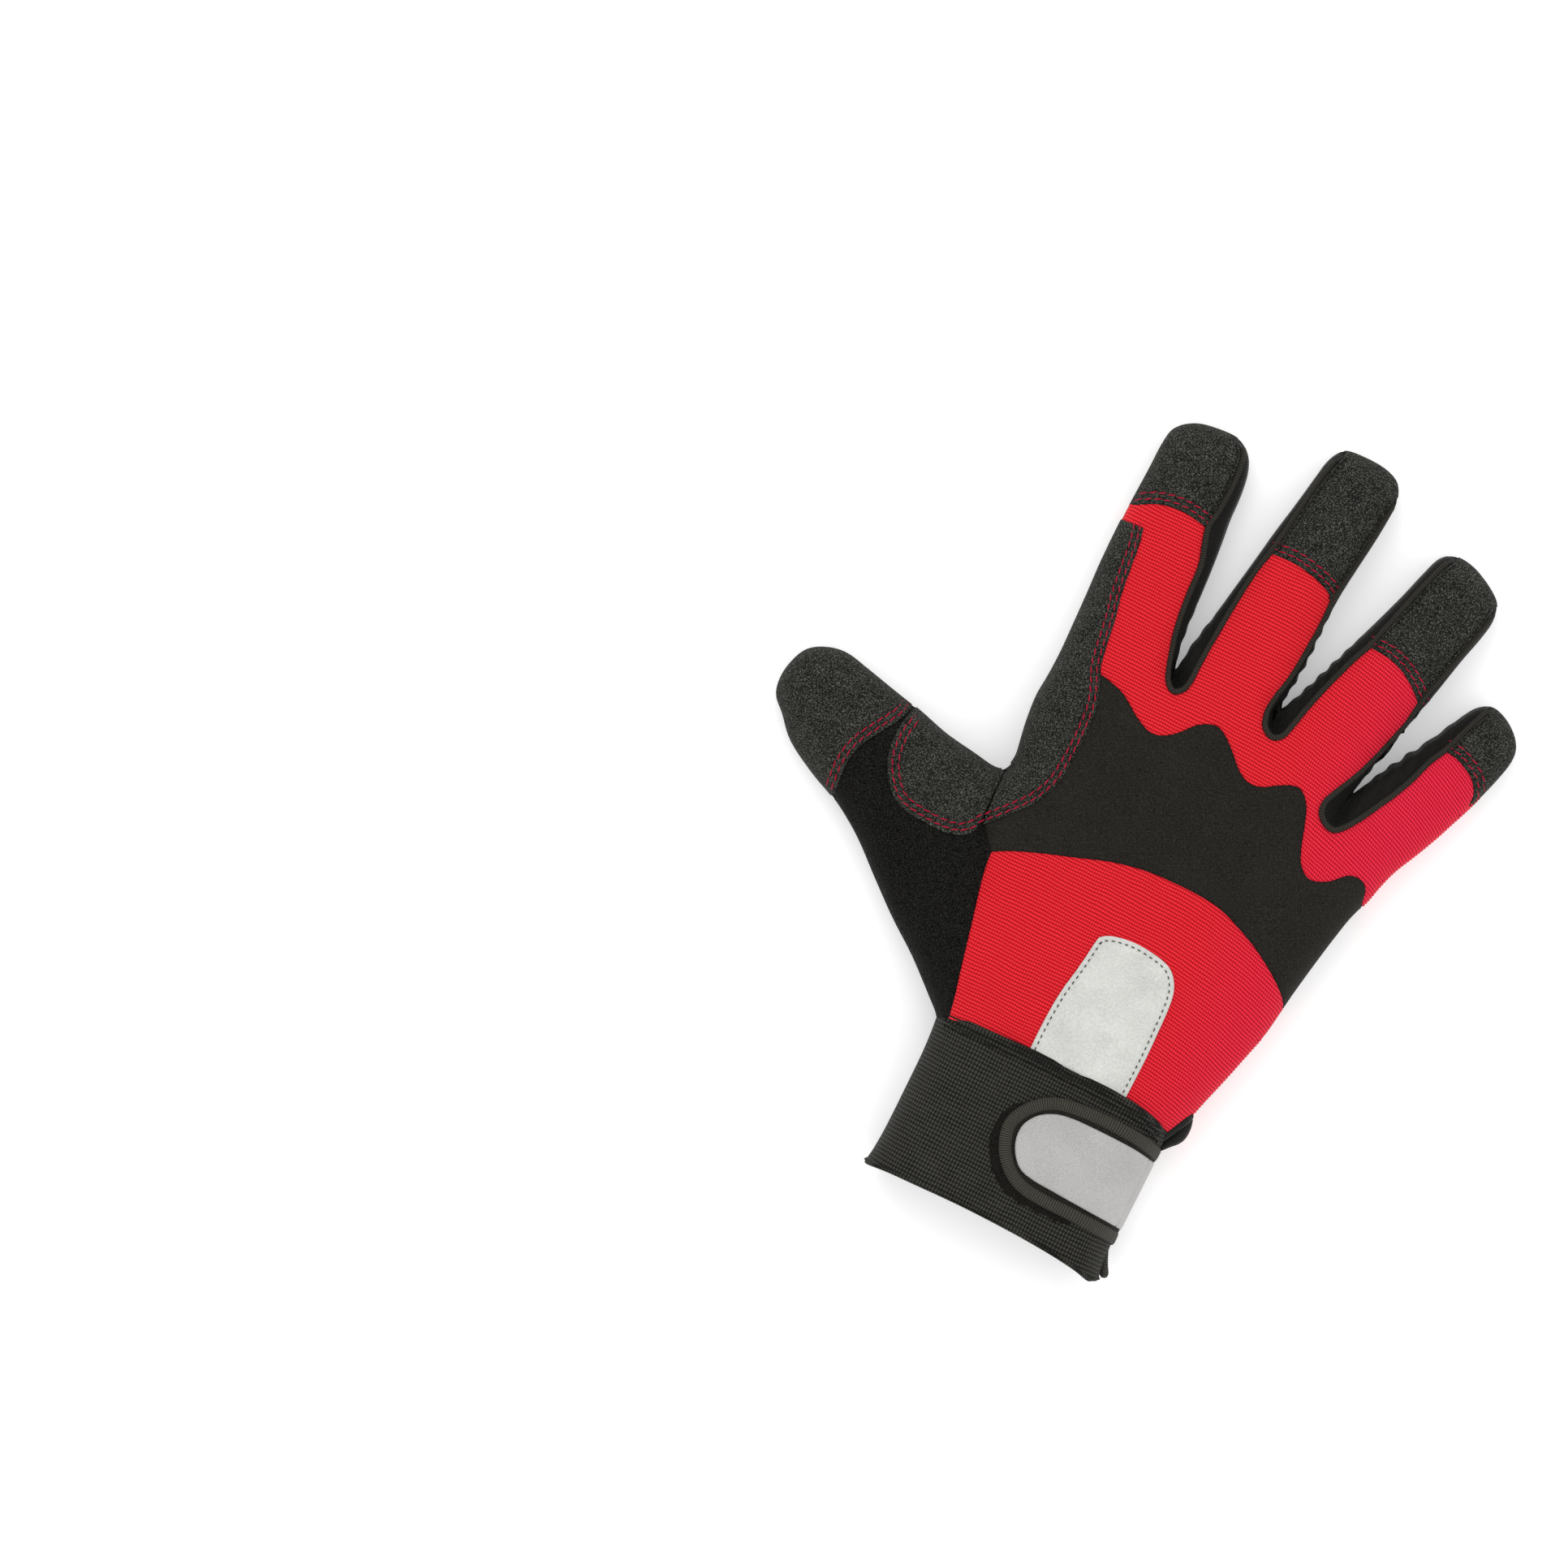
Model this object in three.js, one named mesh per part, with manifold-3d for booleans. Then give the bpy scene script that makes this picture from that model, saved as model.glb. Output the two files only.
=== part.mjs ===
// Right-hand mechanic glove lying palm down.
// Millimetres: fingers along +Y, little finger towards +X, +Z up.
// The glove is a set of fabric panels cut from one hollow hand shape, with patches
// of grip fabric over them. Plan outlines are percent of the palm or of a finger.
import * as THREE from "three";
import { mergeVertices } from "three/addons/utils/BufferGeometryUtils.js";
import Module from "manifold-3d";

const wasm = await Module();
wasm.setup();

// Fabric
const fabricThickness = 1.4;
const patchThickness = 0.85;
const tabThickness = 1.5;
const bindingThickness = 2.3;
const faceThickness = 0.8;
const seamGap = 0.3;
const layerGap = 0.35;

// Palm
const palmWidth = 115;
const palmLength = 113;
const palmHeight = 27;
const wristWidth = 76;

// Fingers and thumb
const indexLength = 90;
const middleLength = 101.7;
const ringLength = 90.9;
const littleLength = 66;
const fingerWidth = 32;
const littleWidth = 26;
const fingerHeight = 17.5;
const thumbLength = 71.5;
const thumbWidth = 34;
const thumbHeight = 22;

// Cuff and closure
const cuffLength = 51;
const cuffThickness = 1.8;
const tabWidth = 32;
const tabLength = 50;
const bindingWidth = 3.5;
const slitLength = 13;
const pullTabWidth = 20;

// Seam between the palm side and the back, and the top of the side walls
const seamHeight = 0.37 * fingerHeight;
const sideWallTop = 0.74 * fingerHeight;

// The suede's underside lies above the grip patches, which carry the glove
const baseHeight = patchThickness + layerGap;
const ringSides = 18;
const sectionRoundness = 2.5;

// Cutting prisms reach past the whole glove
const tall = 3 * palmHeight;
const wide = 2 * (palmLength + middleLength);

const fabrics = {
  redKnit: { color: 0xe42a36, roughness: 0.85 },
  suede: { color: 0x2d2a24, roughness: 0.95 },
  neoprene: { color: 0x282520, roughness: 0.8 },
  darkKnit: { color: 0x1a1a19, roughness: 0.85 },
  grip: { color: 0x464a49, roughness: 0.75 },
  grosgrain: { color: 0x26241e, roughness: 0.6 },
  elastic: { color: 0x1c1b1a, roughness: 0.8 },
  reflective: { color: 0xd6d8d5, roughness: 0.4 },
  rubber: { color: 0xbebabc, roughness: 0.5 },
};

// Geometry helpers
function solidOf(geometry) {
  const bare = geometry.index ? geometry.toNonIndexed() : geometry.clone();
  for (const name of Object.keys(bare.attributes)) {
    if (name !== "position") bare.deleteAttribute(name);
  }
  const merged = mergeVertices(bare, 1e-4);
  const triVerts = new Uint32Array(merged.index.array);
  const vertProperties = merged.attributes.position.array;
  const solid = new wasm.Manifold(new wasm.Mesh({ numProp: 3, vertProperties, triVerts }));
  if (solid.volume() > 0) return solid;
  for (let i = 0; i < triVerts.length; i += 3) {
    [triVerts[i + 1], triVerts[i + 2]] = [triVerts[i + 2], triVerts[i + 1]];
  }
  return new wasm.Manifold(new wasm.Mesh({ numProp: 3, vertProperties, triVerts }));
}

function geometryOf(solid) {
  const mesh = solid.getMesh();
  const geometry = new THREE.BufferGeometry();
  const stride = mesh.numProp;
  const position = new Float32Array((mesh.vertProperties.length / stride) * 3);
  for (let i = 0; i < position.length / 3; i++) {
    for (let k = 0; k < 3; k++) position[i * 3 + k] = mesh.vertProperties[i * stride + k];
  }
  geometry.setAttribute("position", new THREE.BufferAttribute(position, 3));
  geometry.setIndex(new THREE.BufferAttribute(new Uint32Array(mesh.triVerts), 1));
  const flat = geometry.toNonIndexed();
  flat.computeVertexNormals();
  return flat;
}

// An upright prism over a plan outline
function prism(outline, bottom = -tall, top = tall) {
  const shape = new THREE.Shape(outline.map(([x, y]) => new THREE.Vector2(x, y)));
  const geometry = new THREE.ExtrudeGeometry(shape, { depth: top - bottom, bevelEnabled: false });
  geometry.translate(0, 0, bottom);
  return solidOf(geometry);
}

// An outline moved outwards by a margin, corner by corner
function grown(outline, margin) {
  const points = outline.map(([x, y]) => new THREE.Vector2(x, y));
  const turn = THREE.ShapeUtils.isClockWise(points) ? -1 : 1;
  const count = points.length;
  return points.map((point, i) => {
    const before = point.clone().sub(points[(i + count - 1) % count]).normalize();
    const after = points[(i + 1) % count].clone().sub(point).normalize();
    const out = new THREE.Vector2(before.y + after.y, -before.x - after.x).normalize();
    const square = Math.max(0.4, out.x * after.y - out.y * after.x);
    const reach = (turn * margin) / square;
    return [point.x + out.x * reach, point.y + out.y * reach];
  });
}

// Heights of a section: back above the seam line, palm side below, flattened at the base
function ringHeight(height, angle, grow) {
  const seam = 0.4 * height;
  const s = Math.sin(angle);
  const bulge = Math.abs(s) ** (2 / sectionRoundness);
  const reach = s > 0 ? height - seam : 1.2 * seam;
  const z = baseHeight + seam + Math.sign(s) * bulge * (reach + grow);
  return Math.max(z, baseHeight - grow);
}

// A closed tube through sections of { x, y, ax, ay, half, height, bow, lean }.
// (ax, ay) points across the tube; bow and lean push a section's middle and its
// sides along the tube.
function tube(sections, grow, openStart = false) {
  const shifts = sections.map(() => 0);
  shifts[0] = openStart ? -Math.abs(grow) - 1 : -grow;
  shifts[sections.length - 1] = grow;
  const rings = sections.map((section, i) => {
    const along = [-section.ay, section.ax];
    const half = section.half + grow;
    const ring = [];
    for (let k = 0; k < ringSides; k++) {
      const angle = ((k + 0.5) / ringSides) * 2 * Math.PI;
      const c = Math.cos(angle);
      const t = Math.sign(c) * Math.abs(c) ** (2 / sectionRoundness);
      const forward = shifts[i] + section.bow * (1 - t * t) + section.lean * t;
      const x = section.x + section.ax * t * half + along[0] * forward;
      const y = section.y + section.ay * t * half + along[1] * forward;
      ring.push([x, y, ringHeight(section.height, angle, grow)]);
    }
    return ring;
  });
  const position = [];
  const index = [];
  rings.forEach((ring) => ring.forEach((point) => position.push(...point)));
  for (let i = 0; i + 1 < rings.length; i++) {
    for (let k = 0; k < ringSides; k++) {
      const next = (k + 1) % ringSides;
      const [a, b] = [i * ringSides + k, i * ringSides + next];
      index.push(a, b, b + ringSides, a, b + ringSides, a + ringSides);
    }
  }
  for (const i of [0, rings.length - 1]) {
    const section = sections[i];
    const forward = shifts[i] + section.bow;
    const middle = [section.x - section.ay * forward, section.y + section.ax * forward];
    const heights = rings[i].map((point) => point[2]);
    const centre = position.length / 3;
    position.push(...middle, (Math.max(...heights) + Math.min(...heights)) / 2);
    for (let k = 0; k < ringSides; k++) {
      const [a, b] = [i * ringSides + k, i * ringSides + ((k + 1) % ringSides)];
      index.push(...(i === 0 ? [b, a, centre] : [a, b, centre]));
    }
  }
  const geometry = new THREE.BufferGeometry();
  geometry.setAttribute("position", new THREE.Float32BufferAttribute(position, 3));
  geometry.setIndex(index);
  return solidOf(geometry);
}

// Palm frame: the origin is the middle of the wrist seam
const palmLeft = -0.44 * palmWidth;

function onPalm([across, along]) {
  return [palmLeft + (across / 100) * palmWidth, (along / 100) * palmLength];
}

// Palm sections: shares of the palm's length and width, how full it is of its height,
// and shares of its length for lean and bow
const palmTable = [
  { along: 0.13, left: 0.115, right: 0.855, full: 1.0, lean: 0, bow: 0 },
  { along: 0.31, left: 0.063, right: 0.907, full: 1.0, lean: 0, bow: 0 },
  { along: 0.49, left: 0.024, right: 0.935, full: 0.98, lean: 0, bow: 0 },
  { along: 0.66, left: 0.005, right: 0.96, full: 0.94, lean: 0, bow: 0 },
  { along: 0.79, left: 0.0, right: 0.985, full: 0.88, lean: -0.02, bow: 0.02 },
  { along: 0.86, left: 0.003, right: 1.0, full: 0.8, lean: -0.06, bow: 0.06 },
  { along: 0.91, left: 0.04, right: 0.97, full: 0.62, lean: -0.085, bow: 0.105 },
];

const wristSection = {
  x: palmLeft + 0.468 * palmWidth,
  y: 0,
  ax: 1,
  ay: 0,
  half: wristWidth / 2,
  height: 1.02 * palmHeight,
  bow: 0,
  lean: 0,
};

const palmSections = [
  wristSection,
  ...palmTable.map((row) => ({
    x: palmLeft + ((row.left + row.right) / 2) * palmWidth,
    y: row.along * palmLength,
    ax: 1,
    ay: 0,
    half: ((row.right - row.left) / 2) * palmWidth,
    height: row.full * palmHeight,
    bow: row.bow * palmLength,
    lean: row.lean * palmLength,
  })),
];

// Fingers: root on the palm in percent, angle from +Y towards the little finger
const fingers = [
  {
    name: "index",
    root: [15, 89],
    angle: -2.9,
    length: indexLength,
    width: fingerWidth,
    redEnd: 0.675,
    bars: [0.23, 0.34, 0.45, 0.55, 0.66],
  },
  {
    name: "middle",
    root: [40.3, 89],
    angle: 6.8,
    length: middleLength,
    width: fingerWidth,
    redEnd: 0.61,
    bars: [0.24, 0.33, 0.42, 0.51, 0.61],
  },
  {
    name: "ring",
    root: [65.4, 89],
    angle: 16.9,
    length: ringLength,
    width: 0.97 * fingerWidth,
    redEnd: 0.575,
    bars: [0.19, 0.3, 0.39, 0.5, 0.6],
  },
  {
    name: "little",
    root: [87.7, 80],
    angle: 23.6,
    length: littleLength,
    width: littleWidth,
    redEnd: 0.7,
    bars: [0.07, 0.23, 0.36, 0.49, 0.63],
  },
];

const fingerTable = [
  { along: 0.0, broad: 1.0, full: 1.2 },
  { along: 0.28, broad: 1.0, full: 1.02 },
  { along: 0.6, broad: 0.89, full: 0.97 },
  { along: 0.86, broad: 0.82, full: 0.88 },
  { along: 0.93, broad: 0.73, full: 0.76 },
  { along: 0.978, broad: 0.58, full: 0.58 },
  { along: 1.0, broad: 0.38, full: 0.38 },
];

// A plan point in finger shares: across is -1 to 1 over the full width, along 0 to 1
function onFinger(finger, across, along) {
  const angle = THREE.MathUtils.degToRad(finger.angle);
  const [rootX, rootY] = onPalm(finger.root);
  const side = (across * finger.width) / 2;
  const reach = along * finger.length;
  return [
    rootX + Math.cos(angle) * side + Math.sin(angle) * reach,
    rootY - Math.sin(angle) * side + Math.cos(angle) * reach,
  ];
}

function fingerSections(finger) {
  const angle = THREE.MathUtils.degToRad(finger.angle);
  return fingerTable.map((row) => {
    const [x, y] = onFinger(finger, 0, row.along);
    return {
      x,
      y,
      ax: Math.cos(angle),
      ay: -Math.sin(angle),
      half: (row.broad * finger.width) / 2,
      height: row.full * fingerHeight,
      bow: 0,
      lean: 0,
    };
  });
}

// Thumb: shares of its length from the crotch, how broad of its width and full of its height
const thumbCrotch = onPalm([1.1, 62.6]);
const thumbTable = [
  { along: -0.31, middle: -0.56, broad: 1.1, full: 1.1 },
  { along: -0.14, middle: -0.55, broad: 1.7, full: 1.1 },
  { along: 0.014, middle: -0.425, broad: 1.78, full: 1.07 },
  { along: 0.22, middle: -0.33, broad: 1.49, full: 1.0 },
  { along: 0.43, middle: -0.222, broad: 1.22, full: 0.94 },
  { along: 0.62, middle: -0.145, broad: 1.07, full: 0.88 },
  { along: 0.77, middle: -0.09, broad: 0.98, full: 0.82 },
  { along: 0.89, middle: -0.05, broad: 0.79, full: 0.69 },
  { along: 0.965, middle: -0.035, broad: 0.56, full: 0.5 },
  { along: 1.0, middle: -0.035, broad: 0.32, full: 0.3 },
];

function onThumb(along, up) {
  return [thumbCrotch[0] - along * thumbLength, thumbCrotch[1] + up * thumbLength];
}

const thumbSections = thumbTable.map((row) => {
  const [x, y] = onThumb(row.along, row.middle);
  return {
    x,
    y,
    ax: 0,
    ay: 1,
    half: (row.broad * thumbWidth) / 2,
    height: row.full * thumbHeight,
    bow: 0,
    lean: 0,
  };
});

// Cuff: a tube below the wrist seam
const cuffTable = [
  { along: 1.0, broad: 1.01, full: 1.03 },
  { along: 0.5, broad: 1.0, full: 1.03 },
  { along: 0.0, broad: 1.0, full: 1.02 },
];
const cuffTop = -seamGap;
const cuffSections = cuffTable.map((row) => ({
  ...wristSection,
  y: cuffTop - row.along * cuffLength,
  half: (row.broad * wristWidth) / 2,
  height: row.full * palmHeight,
}));

// The hand shape grown by a margin; the inner one runs out at the wrist
function handShape(grow, openStart = false) {
  let shape = tube(palmSections, grow, openStart);
  for (const finger of fingers) shape = shape.add(tube(fingerSections(finger), grow));
  return shape.add(tube(thumbSections, grow));
}

function cuffShape(grow, reach = 0) {
  const sections = cuffSections.map((section) => ({ ...section }));
  sections[0].y -= reach + grow;
  sections[2].y += reach - grow;
  return tube(sections, grow);
}

const overPatch = layerGap + patchThickness;
const handOuter = handShape(0);
const handShell = handOuter.subtract(handShape(-fabricThickness, true));
const handLayer = handShape(overPatch).subtract(handShape(layerGap, true));

// Regions over the plan
function below(top) {
  return prism([[-wide, -wide], [wide, -wide], [wide, wide], [-wide, wide]], -tall, top);
}

// A band over the whole width of a finger between two shares of its length
function fingerBand(finger, from, to, half = 1.3) {
  return [
    onFinger(finger, -half, from),
    onFinger(finger, half, from),
    onFinger(finger, half, to),
    onFinger(finger, -half, to),
  ];
}

// Side walls between two fingers, from the one's middle round the crotch to the other's
const sideWallStart = -0.05;
const sideWallEnd = 0.94;
function sideWallZone(first, second) {
  return [
    onFinger(first, 0, sideWallEnd),
    onFinger(first, 0, sideWallStart),
    onFinger(second, 0, sideWallStart),
    onFinger(second, 0, sideWallEnd),
    onFinger(second, -1.1, sideWallEnd),
    onFinger(first, 1.1, sideWallEnd),
  ];
}

const palmHalf = handShell.intersect(below(seamHeight));
const sideZones = [0, 1, 2].map((i) => {
  const zone = sideWallZone(fingers[i], fingers[i + 1]);
  return { name: `side_wall_${fingers[i].name}_${fingers[i + 1].name}`, zone };
});

let backHalf = handShell.subtract(below(seamHeight + seamGap));
const sideWalls = sideZones.map(({ name, zone }) => {
  const wall = backHalf.intersect(prism(zone, -tall, sideWallTop));
  backHalf = backHalf.subtract(prism(grown(zone, seamGap), -tall, sideWallTop + seamGap));
  return { name, solid: wall, fabric: "grosgrain" };
});

// Cuts the outline's piece out of a half, and leaves a seam gap round it
const halves = { back: backHalf, palm: palmHalf };
function cutPanel(half, outline) {
  const piece = halves[half].intersect(prism(outline));
  halves[half] = halves[half].subtract(prism(grown(outline, seamGap)));
  return piece;
}

// Thumb tip cap: the whole end of the thumb, back and palm side
const capEdge = 0.63;
const capOutline = [
  onThumb(capEdge - 0.14, 0.1),
  onThumb(capEdge - 0.04, 0.0),
  onThumb(capEdge, -0.16),
  onThumb(capEdge - 0.02, -0.42),
  onThumb(1.2, -0.42),
  onThumb(1.2, 0.3),
  onThumb(capEdge - 0.14, 0.3),
];
const thumbTip = handShell.intersect(prism(capOutline));
halves.back = halves.back.subtract(prism(grown(capOutline, seamGap)));
halves.palm = halves.palm.subtract(prism(grown(capOutline, seamGap)));

// Fingertip patches of the back
const tipPatches = fingers.map((finger) => {
  const solid = cutPanel("back", fingerBand(finger, finger.redEnd, 1.2));
  return { name: `${finger.name}_tip_back`, solid, fabric: "grip" };
});

// The wrist panel's corner on the thumb side, in percent of the palm like the outlines
function wristCorner(along) {
  const across = (wristSection.x - 0.474 * wristWidth - palmLeft) / palmWidth;
  return [100 * across, along];
}

// Wrist panel: an arc over the back of the hand down to the wrist seam
const wristOutline = [
  [6, 41], [17.7, 47.6], [26.3, 50.7], [35, 53.8], [43.7, 55.7], [52.4, 56.4], [59.4, 56.2],
  [65.5, 55.3], [78.5, 49.8], [85.5, 45.4], [93, 38], [112, 20], [112, -20], wristCorner(-20),
  wristCorner(0), [12.4, 12.7], [9.5, 25],
].map(onPalm);
const wristPanel = cutPanel("back", wristOutline);

// Thumb back: left of a line from the thumb's crotch to the wrist panel
const thumbOutline = [
  [0.4, 63.5], [2.2, 46], [6, 40], [40, 20], [40, -20], [-90, -20], [-90, 90], [-3, 68],
].map(onPalm);
const thumbBack = cutPanel("back", thumbOutline);

// Back panel: between the wrist panel and the wavy edge of the knuckle panel
const wavyEdge = [
  [11.6, 96.3], [19.4, 94.1], [24.6, 90.5], [29, 88.6], [32.4, 89.2], [35.9, 91.9],
  [39.4, 95.8], [43.7, 97.8], [47.2, 96.3], [50.7, 93.2], [54.2, 89.8], [57.7, 88.1],
  [61.1, 88.8], [64.6, 91], [68.1, 92.7], [70.7, 92.5], [73.3, 89.6], [75, 85.2],
  [76.8, 79.5], [78.5, 75.5], [82.5, 72.5], [87.2, 74.6], [92, 78.5], [96.8, 76.8], [99, 72],
];
const backOutline = [[-8, 106], ...wavyEdge, [112, 68], [112, 20], [-8, 20]].map(onPalm);
const backPanel = cutPanel("back", backOutline);
const knucklePanel = halves.back;

// Patches that lie over the panels
function layerOn(outline, bottom, top) {
  return handLayer.intersect(prism(outline, bottom, top));
}

const palmSideTop = seamHeight - 0.5;
const indexSideOutline = [
  [-8, 135], [4.6, 135.7], [5.9, 130], [6.3, 124.2], [7.2, 117], [8.5, 110.9], [10.3, 99.4],
  [13.3, 91.4], [14.8, 78], [14.3, 69.3], [10.7, 58.7], [7.2, 54.2], [4.4, 51], [0.2, 56],
  [0.2, 65], [-8, 74],
].map(onPalm);
const indexSidePatch = layerOn(indexSideOutline, seamHeight, tall);

const saddleOutline = [
  onThumb(0.42, 0.3), onThumb(0.42, 0.06), onThumb(0.48, -0.02), onThumb(0.49, -0.1),
  onThumb(0.475, -0.19), onThumb(0.42, -0.27), onThumb(0.34, -0.32), onThumb(0.13, -0.33),
  onThumb(0.06, -0.31), onThumb(0.03, -0.1), onThumb(0.03, 0.3),
];
const saddlePatch = layerOn(saddleOutline, seamHeight, tall);

const reflectiveOutline = [
  [40.7, 34.3], [43.7, 36.7], [49.8, 37.7], [56.8, 37], [60.3, 35.7], [63.3, 32.1],
  [64.4, 28.6], [64.9, 19.7], [64.8, 1], [37.5, 1], [37.5, 9.1], [38.1, 18], [39.4, 25.9],
].map(onPalm);
const reflectivePatch = layerOn(reflectiveOutline, sideWallTop, tall);

const palmPatchOutline = [
  [1.5, 94.5], [17.7, 95.4], [26.3, 95], [35, 93.6], [43.7, 91.9], [56.8, 88.3], [69.8, 83.9],
  [82.9, 78.6], [99, 70], [99, 52.5], [70.7, 52.5], [70.3, 44], [72.4, 37.4], [76.8, 32.1],
  [82, 29.5], [99, 27], [99, 14], [82, 9.6], [74.2, 7.3], [65.5, 6], [52.4, 5.1], [52.4, 18],
  [52, 26.8], [50.7, 37.4],
  [48.1, 46.3], [43.7, 54.2], [38.5, 61.3], [32.4, 67.5], [24.6, 73.7], [15.9, 78.1], [1.5, 80.4],
].map(onPalm);
const palmPatch = layerOn(palmPatchOutline, -tall, palmSideTop);

const thenarOutline = [
  [2.5, 74.2], [13.3, 72.4], [22, 68.4], [30.7, 62.2], [36.8, 56], [41.1, 48.9], [44.6, 41.9],
  [47.2, 33.9], [49, 22.4], [49.8, 5.6], [25, 5.6], [25.9, 18], [26.3, 31.2], [25.5, 40.1],
  [22.9, 48.9], [18.5, 56.9], [13.3, 63.1], [7.2, 67.1], [2.5, 68.8],
].map(onPalm);
const thenarPatch = layerOn(thenarOutline, -tall, palmSideTop);

// Bars and fingertip patches of the palm side
const fingerPatches = fingers.flatMap((finger) => {
  const [nearFrom, nearTo, farFrom, farTo, tipFrom] = finger.bars;
  const spans = [
    { name: `${finger.name}_bar_near`, from: nearFrom, to: nearTo, half: 0.6 },
    { name: `${finger.name}_bar_far`, from: farFrom, to: farTo, half: 0.6 },
    { name: `${finger.name}_tip_front`, from: tipFrom, to: 1.2, half: 1.0 },
  ];
  return spans.map(({ name, from, to, half }) => ({
    name,
    solid: layerOn(fingerBand(finger, from, to, half), -tall, palmSideTop),
    fabric: "grip",
  }));
});

// Cuff band with the slit at its little finger edge
const cuffEnd = cuffTop - cuffLength;
const slitX = wristSection.x + 0.47 * wristWidth;
function slitZone(half, top) {
  const outline = [
    [slitX - half, cuffEnd - 20],
    [slitX + half, cuffEnd - 20],
    [slitX + half, cuffEnd + top],
    [slitX - half, cuffEnd + top],
  ];
  return prism(outline, 0.5 * palmHeight, tall);
}
const slitWidth = 1.6;
const cuffWall = cuffShape(0).subtract(cuffShape(-cuffThickness, 5));
const cuffBand = cuffWall.subtract(slitZone(slitWidth / 2, slitLength));

function cuffLayer(from, to) {
  return cuffShape(to).subtract(cuffShape(from, 5));
}

// Strap end on the back of the cuff: it comes round the little finger edge
const tabRight = wristSection.x + 0.56 * wristWidth;
const tabTop = cuffTop - 0.12 * cuffLength;
const tabTip = wristSection.x + 0.462 * wristWidth - tabLength;
const tabOutline = [
  [tabRight, tabTop - 0.13 * tabWidth],
  [tabTip + 0.9 * tabLength, tabTop - 0.06 * tabWidth],
  [tabTip + 0.68 * tabLength, tabTop],
  [tabTip + 0.48 * tabLength, tabTop],
  [tabTip + 0.28 * tabLength, tabTop - 0.03 * tabWidth],
  [tabTip + 0.16 * tabLength, tabTop - 0.11 * tabWidth],
  [tabTip + 0.06 * tabLength, tabTop - 0.28 * tabWidth],
  [tabTip, tabTop - 0.5 * tabWidth],
  [tabTip + 0.03 * tabLength, tabTop - 0.72 * tabWidth],
  [tabTip + 0.12 * tabLength, tabTop - 0.87 * tabWidth],
  [tabTip + 0.25 * tabLength, tabTop - 0.96 * tabWidth],
  [tabTip + 0.4 * tabLength, tabTop - tabWidth],
  [tabTip + 0.8 * tabLength, tabTop - tabWidth],
  [tabRight, tabTop - 1.04 * tabWidth],
];
const faceEdge = bindingWidth + 1.3;
const faceOutline = grown(tabOutline, -faceEdge);
const strapBase = 0.25 * palmHeight;
const tabZone = prism(grown(tabOutline, -bindingWidth - seamGap), strapBase, tall);
const innerZone = prism(grown(tabOutline, -bindingWidth), -tall, tall);
const openEnd = prism([
  [tabRight - bindingWidth - 1, tabTop - bindingWidth],
  [tabRight + 20, tabTop - bindingWidth],
  [tabRight + 20, tabTop - tabWidth + bindingWidth],
  [tabRight - bindingWidth - 1, tabTop - tabWidth + bindingWidth],
]);
const strapTab = cuffLayer(layerGap, layerGap + tabThickness).intersect(tabZone);
const strapBinding = cuffLayer(layerGap, layerGap + bindingThickness)
  .intersect(prism(tabOutline, strapBase, tall))
  .subtract(innerZone)
  .subtract(openEnd);
const faceFrom = 2 * layerGap + tabThickness;
const strapFace = cuffLayer(faceFrom, faceFrom + faceThickness).intersect(
  prism(faceOutline, sideWallTop, tall),
);

// Two bound edges of the slit, below the strap end
const slitBindings = [-1, 1].map((side) => {
  const near = slitX + side * (slitWidth / 2);
  const far = near + side * 1.6;
  const outline = [
    [near, cuffEnd],
    [far, cuffEnd],
    [far, tabTop - 1.04 * tabWidth - 0.6],
    [near, tabTop - 1.04 * tabWidth - 0.6],
  ];
  const solid = cuffLayer(layerGap, layerGap + 1).intersect(
    prism(outline, 0.5 * palmHeight, tall),
  );
  return { name: side < 0 ? "slit_binding_back" : "slit_binding_palm", solid, fabric: "suede" };
});

// Pull tab sewn on the palm side of the cuff
const pullTabX = wristSection.x + 0.06 * wristWidth;
const pullTabOutline = [
  [pullTabX - pullTabWidth / 2, cuffTop - 0.1 * cuffLength],
  [pullTabX + pullTabWidth / 2, cuffTop - 0.1 * cuffLength],
  [pullTabX + 1.15 * (pullTabWidth / 2), cuffEnd + 0.5],
  [pullTabX - 0.85 * (pullTabWidth / 2), cuffEnd + 0.5],
];
const pullTab = cuffLayer(layerGap, overPatch).intersect(
  prism(pullTabOutline, -tall, 0.2 * palmHeight),
);

// Loop over the wrist seam at the little finger edge
const loopX = wristSection.x + 0.47 * wristWidth;
const loopOutline = [
  [loopX, -7], [loopX - 1.2, -2], [loopX + 0.8, 3.5], [loopX + 3.6, 6], [loopX + 6, 6],
  [loopX + 6, -5],
];
const loopShell = handShape(layerGap + 1).add(cuffShape(layerGap + 1));
const loopCore = handShape(layerGap, true).add(cuffShape(layerGap, 5));
const ulnarLoop = loopShell
  .subtract(loopCore)
  .intersect(prism(loopOutline, 0.42 * palmHeight, tall))
  .subtract(prism(grown(tabOutline, seamGap), -tall, tall));

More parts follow.
